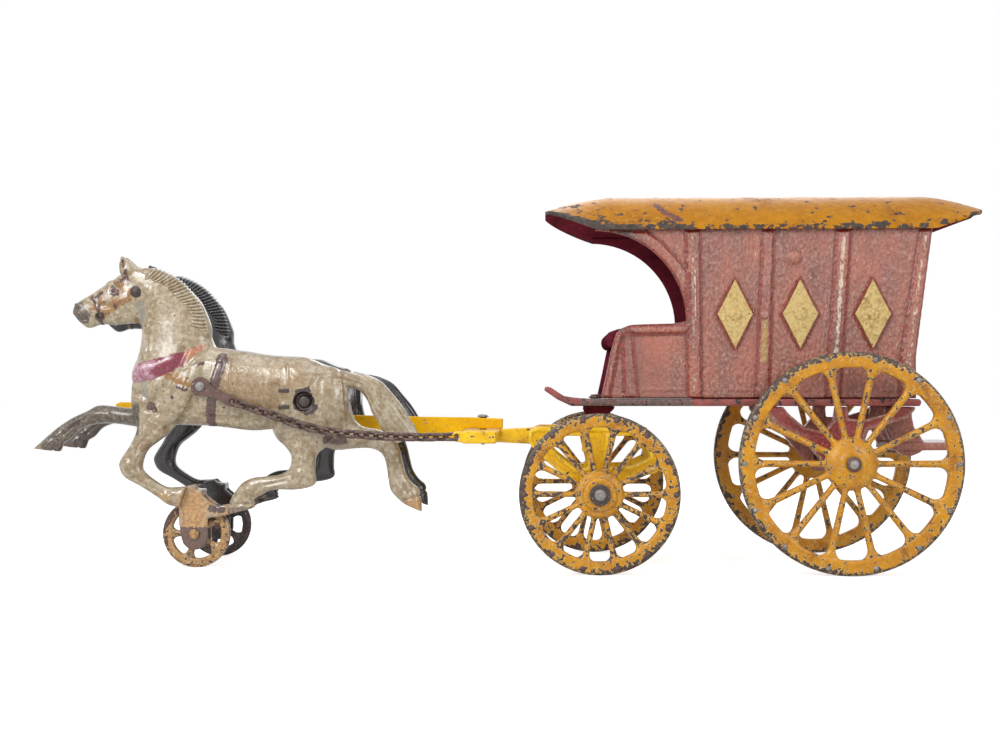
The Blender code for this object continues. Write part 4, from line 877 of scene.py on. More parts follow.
# Paths are (x, z) on the horse's flank; reach and height are in millimetres
straps = {
    "girth": ([(-115.6, 86.6), (-118.3, 77), (-120.8, 62.5), (-121, 59)], 2),
    "girthBuckle": ([(-116.4, 86.2)], 2.1),
    "noseband": ([(-170.9, 111.8), (-168.4, 107.4), (-167.4, 100.3)], 0.9),
    "keeper": ([(-73, 52.9), (-67, 52.6)], 1.9),
    "traceSpots": ([(-133.4, 74.6), (-130.8, 73.6)], 0.9),
}
amberStraps = {
    "cheek": ([(-167.2, 104.4), (-161.6, 108.3), (-155.6, 111.6)], 1.5),
    "browband": ([(-160, 118), (-157, 115.4), (-155, 114)], 1),
    "bar": ([(-169.6, 108), (-166.4, 110.4)], 1.2),
    "shoulder": ([(-140, 81), (-135, 78.4), (-130, 76.4)], 1.5),
}
beads = [
    ([(-147.6, 115.6), (-146.6, 108), (-147.4, 99), (-148, 89)], 0.6),
    ([(-145.9, 115), (-144.9, 108), (-145.7, 99), (-146.2, 89)], 0.6),
    ([(-131.5, 81.7), (-124.6, 86.3)], 0.7),
    ([(-112.5, 88), (-113.5, 72), (-113.8, 60)], 0.7),
    ([(-71.5, 83.5), (-67.8, 78.5), (-66.4, 68), (-66, 58)], 0.7),
    ([(-88.9, 85.5), (-88.6, 76)], 0.7),
    ([(-92.4, 66.6), (-92.4, 73)], 0.55), ([(-87.8, 66.6), (-87.8, 73)], 0.55),
]
collarPatch = [(-158, 84.2), (-150.8, 84.3), (-146, 85.4), (-139.8, 87), (-132, 89),
    (-123.4, 92.4), (-123, 90.6), (-129, 86), (-133, 83), (-138.6, 79.9), (-143, 78.2),
    (-150.6, 76.4), (-158, 77.6)]

muscles = [
    # head
    ([(-157.5, 110.5)], 5.2, 0.55, 0.3, "both"),
    ([(-161.8, 114.6)], 2.6, -0.6, 0.2, "both"),
    ([(-161.8, 114.4)], 1.35, 1, 0.2, "both"),
    ([(-164.6, 117), (-161.6, 118), (-158.6, 117.2)], 1.3, 0.6, 0.2, "both"),
    ([(-178.4, 108), (-177.2, 106.9)], 0.95, -0.8, 0.1, "both"),
    ([(-179.6, 109), (-176.6, 108.6)], 0.9, 0.4, 0.1, "both"),
    ([(-180.4, 103.4), (-176.5, 102.6), (-173.4, 102.9)], 0.75, -0.75, 0.1, "both"),
    ([(-172.5, 110.5), (-168, 108.5), (-163.5, 108)], 1.6, -0.35, 0.1, "both"),
    ([(-160, 121.6), (-157.6, 126.4)], 1.2, -0.7, 0.1, "outer"),
    # neck and shoulder
    ([(-152.2, 102), (-150.6, 96), (-149.6, 90)], 1.8, -0.4, 0.1, "both"),
    ([(-131, 90), (-135.5, 80), (-142.5, 70), (-146, 66)], 2.4, -0.7, 0.1, "both"),
    ([(-126.5, 84), (-129, 74), (-135, 64)], 3.4, 0.5, 0.2, "both"),
    ([(-127, 70), (-133, 61), (-138.5, 57.5)], 1.8, -0.7, 0.1, "both"),
    ([(-153, 73), (-147, 70), (-143, 64)], 1.9, -0.55, 0.1, "both"),
    # barrel and flank
    ([(-124, 62.5), (-110, 61), (-97, 62)], 2.2, -0.45, 0.1, "both"),
    ([(-97, 60), (-94.5, 68), (-93.5, 75)], 2.6, -0.75, 0.1, "both"),
    ([(-88, 84), (-84, 80), (-79, 79)], 3.2, 0.4, 0.2, "both"),
    ([(-76, 77), (-76.6, 68), (-79.5, 60), (-80, 54)], 2.6, -0.25, 0.1, "both"),
    ([(-90, 66), (-92, 58)], 3.4, 0.45, 0.2, "both"),
    ([(-84.5, 52), (-82, 46)], 1.6, -0.4, 0.1, "outer"),
    # legs: tendons, joints and hooves
    ([(-147.2, 54), (-151, 47.5)], 1.5, -0.5, 0.1, "outer"),
    ([(-154, 42.5)], 3, 0.55, 0.2, "outer"),
    ([(-152.5, 37), (-146, 34), (-140.5, 31.2)], 1, -0.45, 0.1, "outer"),
    ([(-137.4, 29.5)], 2.4, 0.4, 0.2, "outer"),
    ([(-83.5, 39)], 3, 0.5, 0.2, "outer"),
    ([(-89.5, 36.4), (-95, 35), (-99, 34.2)], 1, -0.45, 0.1, "outer"),
    ([(-104.6, 32.6)], 2.6, 0.4, 0.2, "outer"),
    ([(-114, 26.4), (-108, 26.8), (-102, 26.6)], 0.7, -0.5, 0.1, "all"),
    ([(-52, 50.5), (-47.6, 46)], 2.6, 0.4, 0.2, "both"),
    ([(-46.4, 43), (-45.2, 38), (-43.8, 33.6)], 1, -0.4, 0.1, "both"),
    ([(-41, 29.8)], 2.4, 0.35, 0.2, "both"),
    ([(-42.4, 27.6), (-39, 28.6), (-35.4, 29.6)], 0.7, -0.45, 0.1, "all"),
    ([(-166, 62.8), (-171, 63)], 2.4, 0.35, 0.2, "both"),
    ([(-175.5, 61.6), (-181, 57.8), (-185, 54.4)], 0.9, -0.4, 0.1, "both"),
    ([(-187.4, 54.4)], 2, 0.35, 0.2, "both"),
    ([(-189.6, 51), (-189, 47.6)], 0.7, -0.5, 0.1, "all"),
    # hair of the tail
    ([(-66, 79.6), (-58, 76.6), (-52, 69.6), (-45, 59), (-38.6, 53)], 0.75, -0.3, 0, "both"),
    ([(-64, 77), (-57.6, 73.8), (-54, 66), (-48, 57), (-42, 51.4)], 0.75, -0.3, 0, "both"),
    ([(-63, 81), (-55, 77.4), (-48.6, 71), (-42, 62), (-37, 55.6)], 0.75, -0.3, 0, "both"),
]


def horseSkin():
    plan = horsePlan
    parts = [limb(stations) for stations in (torso, neck, head, tail, reachingForeleg,
                                             foldedForeleg, foldedHindleg, reachingHindleg,
                                             maneRoot, collarRoll, otherSide(collarRoll), ear,
                                             otherSide(ear))]
    mesh = melted(meshFrom("skin", joined(parts + bracketShapes())), plan["skin"])
    relaxed(mesh, 4)
    deep = plan["halfWidth"] - 3.4
    rearX, rearZ = plan["pinSpots"][1]
    wheelX, wheelZ = plan["wheelSpot"]
    pits = [rod(plan["pinHead"] + 1.0, -16, -deep, 28, (rearX, 0, rearZ)),
            rod(1.7, -16, 16, 20, (wheelX, 0, wheelZ))]
    mesh = melted(cutWith(mesh, joined(pits), solver="FAST"), plan["skin"])
    relaxed(mesh, 2)
    sculpt(mesh, [(path, wide, height * plan["muscle"], flat, face)
                  for path, wide, height, flat, face in muscles])
    for bands, height, flat in ((straps.values(), 0.5, 0.55), (amberStraps.values(), 0.2, 0.3),
                                (beads, 0.4, 0.2)):
        sculpt(mesh, [(path, wide, height, flat, "both") for path, wide in bands])
    relaxed(mesh, 1)
    markEdges(mesh)
    return mesh


skin = horseSkin()
markPaths(skin, "leather", straps.values())
# The crimson collar is worn pale towards the chest and amber towards the back
patch = readSpots(skin)
outer = np.abs(patch[:, 1]) > 4.0
inPatch = np.clip(depthInside(patch, collarPatch) / 1.2 + 0.5, 0, 1) * outer
setMark(skin, "collar", inPatch)
setMark(skin, "collarWorn", inPatch * easing((-139.0 - patch[:, 0]) / 9.0) * 0.78)
setMark(skin, "collarAmber", inPatch * easing((patch[:, 0] + 134.0) / 5.0))
markPaths(skin, "amber", [(path, wide + 0.5) for path, wide in amberStraps.values()])
markPaths(skin, "eyeStain", [([(-162.6, 114.6), (-160.4, 113.4)], 1.5), ([(-169.8, 110.6),
    (-167, 113.4)], 1), ([(-157.4, 119.6), (-159, 118)], 0.9), ([(-143.4, 65.2)], 1.2),
    ([(-136.2, 70.4)], 0.7), ([(-115, 66.2)], 0.8), ([(-145.4, 121.6), (-142.6, 121.4)], 1),
    ([(-161, 107.6)], 0.9), ([(-126.5, 83.6), (-123.8, 84.4)], 0.6), ([(-158.4, 127),
    (-157.6, 124)], 0.5), ([(-157, 122.4), (-155.6, 117)], 0.6), ([(-181.5, 58.4), (-178, 60)],
    1)])
# Painted shade: darker along the horse's outline, under the belly, over the barrel, and on the
# reaching foreleg, more so towards its foot
reachNear = besidePath(patch, [(-150, 61), (-164, 63), (-176, 60), (-188, 53)], 8.0, 3.0)
lowered = easing((66.0 - patch[:, 2]) / 7.0)
legShade = 1.2 * reachNear * (0.85 + 0.15 * lowered) * (patch[:, 0] < -150)
bellyShade = 0.35 * besidePath(patch, [(-120, 57), (-100, 55), (-90, 54)], 3.0, 3.0)
backShade = 0.04 * besidePath(patch, [(-112, 78), (-90, 76), (-72, 74)], 15.0, 7.0)
edgeShade = 0.5 * easing((0.5 - np.abs(readNormals(skin)[:, 1])) / 0.35)
setMark(skin, "soot", np.clip(edgeShade + legShade + bellyShade + backShade, 0, 1))
barrel = besidePath(patch, [(-110, 74), (-98, 72), (-88, 78)], 13.0, 9.0)
setMark(skin, "tan", 0.62 * barrel)
markPaths(skin, "greySmear", [([(-150.4, 108.6), (-150, 103.6)], 1.9), ([(-148, 76),
    (-147.6, 70)], 1.4)])
markPaths(skin, "hoof", [([(-112, 24), (-104, 24)], 1.6), ([(-195, 49), (-188.5, 49)], 2)])
markPaths(skin, "rust", [([(-40, 25.6), (-35, 26.6)], 2.4), ([(-128.6, 27), (-128, 17)], 5.4),
    ([(-122, 26), (-114, 23.4)], 2.6), ([(-141, 29.8), (-138, 29)], 1)], 4.5)
markPaths(skin, "socket", [([(-82, 68.6)], 4.6), ([(-84.2, 72), (-80.6, 73)], 1.6),
    ([(-80.6, 64.4), (-78, 66)], 1.7)])
wheelX, wheelZ = horsePlan["wheelSpot"]
lobe = np.hypot(patch[:, 0] - wheelX, patch[:, 2] - wheelZ)
setMark(skin, "cup", np.clip(7.6 - lobe, 0, 1) * np.clip((17.6 - patch[:, 2]) / 1.2, 0, 1))
markPaths(skin, "barDark", [([(-121, 24.6), (-116, 24)], 1.3), ([(-124, 31.4), (-116.4, 27.6)],
    0.8)])
markPaths(skin, "muzzle", [([(-177.0, 107.4), (-174.6, 103.4)], 2.9)])
print("horse skin", len(skin.polygons), "faces")

horseMarks = {
    "ivory": (
        ("tan", (160, 128, 86), (136, 106, 68)),
        ("rust", (196, 152, 92), (156, 112, 70)),
        ("cup", (108, 80, 70), (84, 62, 56)),
        ("barDark", (92, 66, 58), (70, 52, 48)),
        ("greySmear", (150, 142, 126), (132, 126, 112)),
        ("amber", (164, 122, 66), (122, 86, 52)),
        ("collar", (134, 38, 60), (110, 36, 54)),
        ("collarWorn", (186, 148, 160), (140, 88, 104)),
        ("collarAmber", (190, 128, 96), (150, 96, 66)),
        ("leather", (98, 68, 60), (74, 52, 48)),
        ("hoof", (150, 130, 106), (104, 86, 72)),
        ("muzzle", (108, 94, 80), (72, 62, 56)),
        ("eyeStain", (96, 58, 52), (62, 40, 40)),
        ("socket", (70, 46, 40), (44, 30, 28)),
    ),
    "black": (
        ("collar", (84, 36, 50), (104, 64, 76)),
        ("leather", (92, 70, 60), (70, 54, 48)),
        ("hoof", (84, 70, 58), (60, 50, 44)),
        ("socket", (40, 30, 28), (28, 22, 22)),
    ),
}
# This finish's dark grey-brown is painted shade, laid along the horse's outline, belly, barrel and
# reaching foreleg
ivoryPaint = paintedIron("ivoryPaint", paint=(176, 163, 137), shade=(146, 134, 108),
    grime=(128, 98, 62), metal=(92, 62, 52), metalShade=(66, 46, 42), primer=(200, 158, 108),
    chipAt=0.68, chipSize=2.4, toneSize=5.5, primerWidth=0.022, edgeWear=0.1, rough=0.11,
    bump=0.12, coat=0.8, hollowGrime=0.95, hollowAt=0.14, grimeAt=0.53,
    wornColour=(222, 212, 190), wornAt=0.66, wornEdge=0.1, ragged=0.5, soot=(58, 48, 40),
    rub=0.75, fleck=0.85, soft=("rust", "greySmear", "tan"), rubColour=(200, 188, 164),
    rubDark=(140, 118, 84), pebble=0.9, pebbleSize=2.4, marks=horseMarks["ivory"])
blackPaint = paintedIron("blackPaint", paint=(36, 33, 36), shade=(24, 22, 26), grime=(60, 50, 46),
    metal=(104, 90, 82), metalShade=(74, 64, 60), primer=(120, 100, 84), chipAt=0.7, chipSize=2.2,
    toneSize=8, primerWidth=0.01, edgeWear=0.1, rough=0.14, bump=0.09, coat=0.8, hollowGrime=0.4,
    hollowAt=0.25, wornColour=(96, 94, 98), wornAt=0.68, wornEdge=0.1, marks=horseMarks["black"])

maneLine = [(-147, 123.8), (-143, 122.6), (-138.4, 120.4), (-134.4, 117.6), (-131, 114.2),
    (-128, 110.6), (-125.6, 106.4), (-124, 101.6), (-122.8, 96.8)]
maneLook = {"count": 24, "samples": 10, "across": 34, "reach": 5.4, "slant": -0.42, "proud": 1.0}


def maneMesh(tree):
    # A hogged mane: rope ridges laid over the crest, following the skin on both flanks
    plan = maneLook
    line = [Vector(p) for p in smoothPath(maneLine, 12)]
    total = plan["count"] * plan["samples"]
    lengths = [0.0]
    for a, b in zip(line, line[1:]):
        lengths.append(lengths[-1] + (b - a).length)
    shape = bmesh.new()
    rings = []
    for i in range(total + 1):
        want = lengths[-1] * i / total
        k = min(max(np.searchsorted(lengths, want) - 1, 0), len(line) - 2)
        spot = line[k].lerp(line[k + 1], (want - lengths[k]) / (lengths[k + 1] - lengths[k]))
        along = (line[k + 1] - line[k]).normalized()
        inward = Vector((along.y, -along.x))
        if inward.x > 0:
            inward = -inward
        across = 2 * (i % plan["samples"]) / plan["samples"] - 1
        ridge = (max(1 - across * across, 0)) ** 0.7 - 0.3
        own = math.sin(2.3 * (i // plan["samples"]) ** 1.3)
        ends = min(1.0, i / plan["samples"], (total - i) / plan["samples"])
        ring = []
        for j in range(plan["across"] + 1):
            share = abs(2 * j / plan["across"] - 1)
            deep = (plan["reach"] + 0.5 * own) * share * (0.55 + 0.45 * ends)
            place = spot + inward * deep + along * plan["slant"] * deep
            hit = tree.ray_cast(Vector((place.x, -30, place.y)), Vector((0, 1, 0)))[0]
            half = -hit.y if hit else 0.0
            if deep < 1.0:
                half *= math.sqrt(max(1 - (1 - deep) ** 2, 0))
            lift = (0.25 + plan["proud"] * ridge) * (1 - share ** 5) * ends - 0.5 * share ** 8
            sign = -1 if j < plan["across"] / 2 else 1
            outward = -inward * lift * (1 - min(deep / 2.0, 1))
            ring.append(shape.verts.new((place.x + outward.x, sign * (half + lift * min(deep, 1)),
                                         place.y + outward.y)))
        rings.append(ring)
    bridge(shape, rings)
    shape.faces.new(rings[0])
    shape.faces.new(rings[-1][::-1])
    bmesh.ops.recalc_face_normals(shape, faces=shape.faces)
    mesh = meshFrom("mane", shape)
    markEdges(mesh, 2)
    return mesh


headMetal = {"blinker": (-152.4, 113.9), "ring": (-167.6, 103.9), "loop": (-90.1, 69.8, 2.2)}


def onFlank(tree, x, z):
    # How far out the skin stands at a place on the flank
    hit = tree.ray_cast(Vector((x, -30, z)), Vector((0, 1, 0)))[0]
    return hit.y if hit else 0.0


def flankMetal(tree):
    # Blinker, bit ring and the loop behind the saddle, for both faces of a horse
    spots = headMetal
    made = []
    x, z = spots["blinker"]
    y = onFlank(tree, x, z)
    made.append(turned([(0, y - 1.4), (0.9, y - 1.25), (1.6, y - 0.8), (1.8, y - 0.5),
                        (2.3, y - 0.45), (2.5, y), (2.5, y + 0.6), (0, y + 0.6)], 24, (x, 0, z)))
    x, z = spots["ring"]
    y = onFlank(tree, x, z)
    made.append(turned([(1.0, y - 0.2), (1.2, y - 0.8), (1.7, y - 0.8), (1.9, y - 0.2),
                        (1.7, y + 0.4), (1.2, y + 0.4)], 20, (x, 0, z)))
    x, z, wide = spots["loop"]
    y = onFlank(tree, x, z)
    for height in (z - 3.3, z + 3.3):
        low, high = height - 0.8, height + 0.8
        made.append(slab([(x - wide, low), (x + wide, low), (x + wide, high), (x - wide, high)],
                         y - 0.7, y + 0.6))
    near = joined(made)
    far = near.copy()
    for vert in far.verts:
        vert.co.y = -vert.co.y
    bmesh.ops.reverse_faces(far, faces=far.faces)
    return meshFrom("metal", joined([near, far]))


skinShape = bmesh.new()
skinShape.from_mesh(skin)
skinTree = BVHTree.FromBMesh(skinShape)
skinShape.free()
metalParts, mane = flankMetal(skinTree), maneMesh(skinTree)
horseFinishes = {"left": (ivoryPaint, "ivory_paint"), "right": (blackPaint, "black_paint")}
for side, sign, own in bothSides(skin):
    finish, slotName = horseFinishes[side]
    place = (0, sign * horsePlan["plane"], 0)
    finishPiece(side + "Horse", moveMesh(own, place), finish, "front_truck", slotName,
                side + "_horse")
    finishPiece(side + "Mane", moveMesh(mane.copy(), place), finish, "front_truck", slotName)
    tack = moveMesh(metalParts.copy(), place)
    tack.shade_smooth()
    tackPiece = finishPiece(side + "HeadMetal", tack, sootyIron, "front_truck", "strap_iron",
                            smooth=False)
    soft = tackPiece.modifiers.new("soften", "BEVEL")
    soft.width, soft.segments, soft.angle_limit = 0.22 * mm, 2, math.radians(35)
print("both horses are dressed")

# An arc is a worn stretch of the tyre: middle and half width in degrees, then strength
wheelPlans = {
    "RearWheel": {
        "at": (137.0, 42.0, 44.2), "radius": 44.2, "rim": 6.2, "deep": 4.0, "spokes": 14,
        "first": 0.0, "root": 1.15, "tip": 1.45, "flare": 3.9, "ridge": 1.5, "skin": 0.44,
        "studRing": 2.2, "stud": 1.1, "body": "_rear_wheel_body", "node": "_rear_wheel",
        "chips": 0.0,
        "arcs": ((135, 64, 0.15), (252, 36, 0.1), (70, 30, 0.1), (215, 24, 0.09), (330, 40, 0.05)),
        "hub": [(2.5, -4.5), (4.6, -4.5), (5.2, -4.1), (5.6, -3.9), (7.4, -3.4), (8.8, -2.7),
                (9.9, -1.8), (10.6, 0.0), (9.9, 1.8), (8.4, 2.8), (5.4, 4.4), (2.5, 4.4)],
    },
    "FrontWheel": {
        "at": (38.0, 42.0, 32.0), "radius": 32.0, "rim": 5.4, "deep": 4.0, "spokes": 14,
        "first": 0.0, "root": 1.1, "tip": 1.25, "flare": 3.2, "ridge": 1.45, "skin": 0.41,
        "studRing": 2.0, "stud": 1.1, "body": "_front_wheel_body", "node": "_front_wheel",
        "chips": 0.035, "arcs": ((165, 74, 0.14), (300, 60, 0.1), (60, 50, 0.09)),
        "hub": [(2.2, -4.5), (6.0, -4.5), (6.5, -4.2), (6.6, -3.2), (8.4, -2.9), (9.2, -2.2),
                (9.8, 0.0), (9.2, 2.2), (6.4, 3.4), (5.4, 4.4), (2.2, 4.4)],
    },
    "TeamWheel": {
        "at": (-127.8, 21.0, 14.0), "radius": 14.0, "rim": 3.7, "deep": 3.0, "spokes": 5,
        "first": 180.0, "root": 1.0, "tip": 1.5, "flare": 3.0, "ridge": 1.2, "skin": 0.3,
        "studRing": 0, "stud": 0, "body": "_team_wheel_body", "node": "_team_wheel",
        "chips": 0.0, "arcs": ((150, 66, 0.16), (250, 16, 0.05)),
        "hub": [(1.65, -2.0), (2.9, -2.0), (3.3, -1.4), (3.6, 0.0), (3.3, 1.4), (2.9, 2.0),
                (1.65, 2.0)],
    },
}

rustyWheel = paintedIron("rustyWheel", paint=(186, 144, 88), shade=(146, 102, 62),
    grime=(98, 64, 44), metal=(104, 78, 68), metalShade=(76, 56, 50), primer=(206, 190, 164),
    chipAt=0.6, chipSize=1.6, toneSize=3.4, edgeWear=0.16, rough=0.3, bump=0.16,
    wornColour=(224, 206, 168), wornAt=0.58, primerWidth=0.03, rub=0.6, rubColour=(216, 186, 128),
    rubDark=(112, 76, 50))
darkWheel = paintedIron("darkWheel", paint=(52, 46, 48), shade=(40, 36, 40), grime=(70, 52, 42),
    metal=(104, 86, 74), metalShade=(74, 62, 56), primer=(110, 92, 80), chipAt=0.62, chipSize=1.6,
    toneSize=3.4, rough=0.38, bump=0.12)


def circlePath(radius, first, count):
    turns = [math.radians(first) + 2 * math.pi * k / count for k in range(count)]
    return [(radius * math.cos(a), 0.0, radius * math.sin(a)) for a in turns]


def spokeShape(plan, middle):
    # Drawn along Z with the rim end below: narrow, ridged on both faces, flared into the rim
    outer = plan["radius"] - plan["rim"]
    inner = plan["hub"][len(plan["hub"]) // 2][0] - 1.4
    length = outer - inner
    half = plan["deep"] / 2
    shape = bmesh.new()
    rings = []
    bends = [math.radians(a) for a in (0, 18, 36, 54, 72, 90)]
    shares = [-0.02, 0.05, 0.12, 0.4, 0.7]
    shares += [1 - plan["flare"] * (1 - math.sin(a)) / length for a in bends] + [1.05]
    for share in shares:
        wide = plan["root"] + (plan["tip"] - plan["root"]) * share
        left = max(length * (1 - share), 0)
        if left < plan["flare"]:
            wide += plan["flare"] - math.sqrt(plan["flare"] ** 2 - (plan["flare"] - left) ** 2)
        if share < 0.12:
            wide += 0.5 * (1 - share / 0.12)
        flat = min(max((share - 0.85) / 0.15, 0), 1)
        rise = plan["ridge"] + (half * 0.86 - plan["ridge"]) * flat
        side = 0.55 + (half * 0.7 - 0.55) * flat
        top = wide * 0.28
        z = middle - (inner + length * share)
        rings.append([shape.verts.new((x, y, z)) for x, y in
                      ((-wide, -side), (-top, -rise), (top, -rise), (wide, -side),
                       (wide, side), (top, rise), (-top, rise), (-wide, side))])
    bridge(shape, rings)
    shape.faces.new(rings[0][::-1])
    shape.faces.new(rings[-1])
    bmesh.ops.recalc_face_normals(shape, faces=shape.faces)
    return shape


def wheelMesh(plan):
    big, rim, half = plan["radius"], plan["rim"], plan["deep"] / 2
    section = [(big - rim, -half * 0.72), (big - rim + 0.5, -half), (big - 1.2, -half),
               (big - 0.9, -half * 0.84), (big - 0.15, -half * 0.8), (big, -half * 0.6),
               (big, half * 0.6), (big - 0.15, half * 0.8), (big - 0.9, half * 0.84),
               (big - 1.2, half), (big - rim + 0.5, half), (big - rim, half * 0.72)]
    middle = (big - rim + plan["hub"][0][0]) / 2 + 2
    path = circlePath(middle, plan["first"], plan["spokes"] * 12)
    spokes = repeatAlong(path, spokeShape(plan, middle), plan["spokes"], wheelPaint, closed=True)
    ring = meshFrom("ring", joined([turned(section, 220), turned(plan["hub"], 72)]))
    mesh = melted(joinMeshes("wheel", [spokes, ring]), plan["skin"])
    relaxed(mesh, 2)
    spots = readSpots(mesh)
    far = np.linalg.norm(spots[:, [0, 2]], axis=1)
    over = far > big - 0.02
    shrink = (big - 0.02) / far[over]
    spots[over] *= np.stack([shrink, np.ones(over.sum()), shrink], 1)
    writeSpots(mesh, spots)
    markEdges(mesh)
    return mesh, far


studDome = [(0, -0.62), (0.45, -0.54), (0.8, -0.28), (1.0, 0.0), (1.0, 0.5), (0, 0.5)]
teamFinishes = {"left": (rustyWheel, "rusty_wheel"), "right": (darkWheel, "dark_wheel")}

for label, plan in wheelPlans.items():
    x, y, z = plan["at"]
    mesh, far = wheelMesh(plan)
    spots = readSpots(mesh)
    setMark(mesh, "tyre", np.clip((far - plan["radius"] + 1.0) / 0.8 + 0.5, 0, 1))
    chips = plan["chips"] + 0.07 * easing((far - plan["radius"] + 2.6) / 1.6)
    inSpokes = (far < plan["radius"] - plan["rim"]) & (far > plan["hub"][6][0])
    ridge = easing((np.abs(spots[:, 1]) - 0.8) / 0.5) * inSpokes
    chips += (0.02 + 0.6 * plan["chips"]) * inSpokes + 0.04 * ridge
    # Cream flecks on the spoke ridges are a painted highlight; the rim's outer band is worn pale
    setMark(mesh, "worn", 0.07 * ridge + 0.03 * (far > plan["radius"] - 2.6))
    turn = np.degrees(np.arctan2(spots[:, 2], spots[:, 0])) % 360
    for middle, half, strength in plan["arcs"]:
        lobe = easing(1 - np.abs((turn - middle + 180) % 360 - 180) / half)
        chips += strength * lobe * easing((far - plan["radius"] + 3.6) / 1.8)
    if plan["stud"]:
        seats = circlePath(plan["radius"] - plan["studRing"], plan["first"], plan["spokes"])
        away = np.min([np.hypot(spots[:, 0] - sx, spots[:, 2] - sz) for sx, _, sz in seats], axis=0)
        chips += 0.14 * easing((plan["stud"] + 0.6 - away) / 0.8)
    setMark(mesh, "chip", chips)
    for side, sign, own in bothSides(mesh):
        place = (x, sign * y, z)
        finish, slotName = wheelPaint, "wheel_paint"
        if label == "TeamWheel":
            finish, slotName = teamFinishes[side]
        finishPiece(side + label, moveMesh(own, place), finish, side + plan["body"], slotName,
                    side + plan["node"])
        if not plan["stud"]:
            continue
        dome = turned([(r * plan["stud"], h) for r, h in studDome], 14)
        path = circlePath(plan["radius"] - plan["studRing"], plan["first"], plan["spokes"] * 12)
        metal = bareSteel if label == "RearWheel" else brownIron
        studs = repeatAlong(path, dome, plan["spokes"], metal, closed=True)
        moveMesh(studs, (0, -plan["deep"] / 2 + 0.05, 0))
        if sign > 0:
            studs = mirrorMesh(studs)
        finishPiece(side + label + "Studs", moveMesh(studs, place), metal, side + plan["body"],
                    "bare_iron")
    print(label, len(mesh.polygons), "faces")

# A side is a wall whose outer face is raised into ribs, frames and panels
sidePlan = {
    "outer": 27.0, "rib": 0.9, "wall": 2.0, "floorTop": 69.7, "ribLow": 70.3,
    "ribHigh": 138.0, "bend": 87.0, "rearTop": 173.6, "rearFoot": 166.6, "frontFoot": 39.2,
    "arch": (36.9, 101.3, 36.9), "grid": 0.5, "along": (36.0, 175.0), "lowest": 69.0,
    "round": 0.7, "sandHeight": 0.07,
    "boss": (117.5, 127.4), "bossRadius": 3.1, "ornaments": (93.5, 119.8, 149.0),
    "ornamentAt": 104.15, "wear": {0: 0.85, 2: 1.6, 3: 1.2, 7: 0.3},
}
roofPlan = {
    "front": 16.2, "rear": 198.3, "half": 29.0, "eave": 138.6, "ridge": 155.0, "thick": 2.0,
    "lip": 1.4, "visor": 21.3, "tail": 24.3, "lift": 8.4, "columns": 64,
}


def roofLevels(v, eave, ridge):
    plan = roofPlan
    top = eave + plan["lip"] + (ridge - eave - plan["lip"]) * (1 - v * v)
    low = eave + (top - plan["thick"] - eave) * min(1, (1 - v * v) * 3)
    return top, min(low, top - 0.9)


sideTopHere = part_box("left_side")[1].z / mm


def sideOutline():
    plan = sidePlan
    foot = plan["floorTop"] + 0.3
    seat = smoothPath([(plan["frontFoot"], foot), (41.4, 80.0), (43.9, 91.8), (45.8, 97.0),
                       (48.9, 99.0), (53.3, 100.0), (68.1, 100.4)], 5)
    arch = arc(*plan["arch"], 0, 90, 48)
    return (seat + arch + [(plan["arch"][0], sideTopHere), (plan["rearTop"], sideTopHere),
                           (plan["rearFoot"], plan["bend"]), (plan["rearFoot"], foot)])


def sideRaised():
    plan = sidePlan
    low, high = plan["ribLow"], plan["ribHigh"]
    centreX, centreZ, radius = plan["arch"]
    raised = [[(74.6, low), (79.8, low), (79.3, high), (73.9, high)],
              [(102.0, low), (107.0, low), (109.3, high), (105.2, high)],
              [(130.4, low), (135.6, low), (140.4, high), (135.0, high)],
              [(160.0, low), (166.3, low), (166.3, 87.0), (173.1, high), (168.4, high),
               (160.6, 87.0)],
              [(39.9, low), (42.4, low), (46.9, 93.0), (48.4, 96.8), (45.9, 95.8), (43.9, 90.5)],
              [(49.0, low), (54.0, low), (51.4, 97.0), (48.0, 97.1)],
              [(47.6, 95.9), (74.8, 96.6), (74.8, 99.8), (53.5, 99.4), (49.0, 98.4), (47.0, 97.2)]]
    band = arc(centreX, centreZ, radius + 0.1, 2, 84, 30)
    band += [(44.0, high), (58.0, high - 0.4), (63.5, 133.5), (67.8, 129.2), (71.1, 125.2),
             (74.6, 120.4), (74.9, 102.6)]
    return raised, band


def lozenge(x, z):
    return [(x, z - 14), (x + 5.2, z - 3.6), (x + 7.2, z), (x + 5.2, z + 3.6), (x, z + 14),
            (x - 5.2, z + 3.6), (x - 7.2, z), (x - 5.2, z - 3.6)]


def sand(x, z, size, seed=0.0):
    # Even, repeatable unevenness of a sand casting, about -1 to 1
    a, b = x / size + seed, z / size - seed
    return (np.sin(a * 2.1 + 1.7 * np.sin(b * 1.3)) * np.sin(b * 1.9 + 1.3 * np.sin(a * 1.1))
            + 0.5 * np.sin(a * 4.7 + b * 2.3) * np.sin(b * 5.1 - a * 1.7))


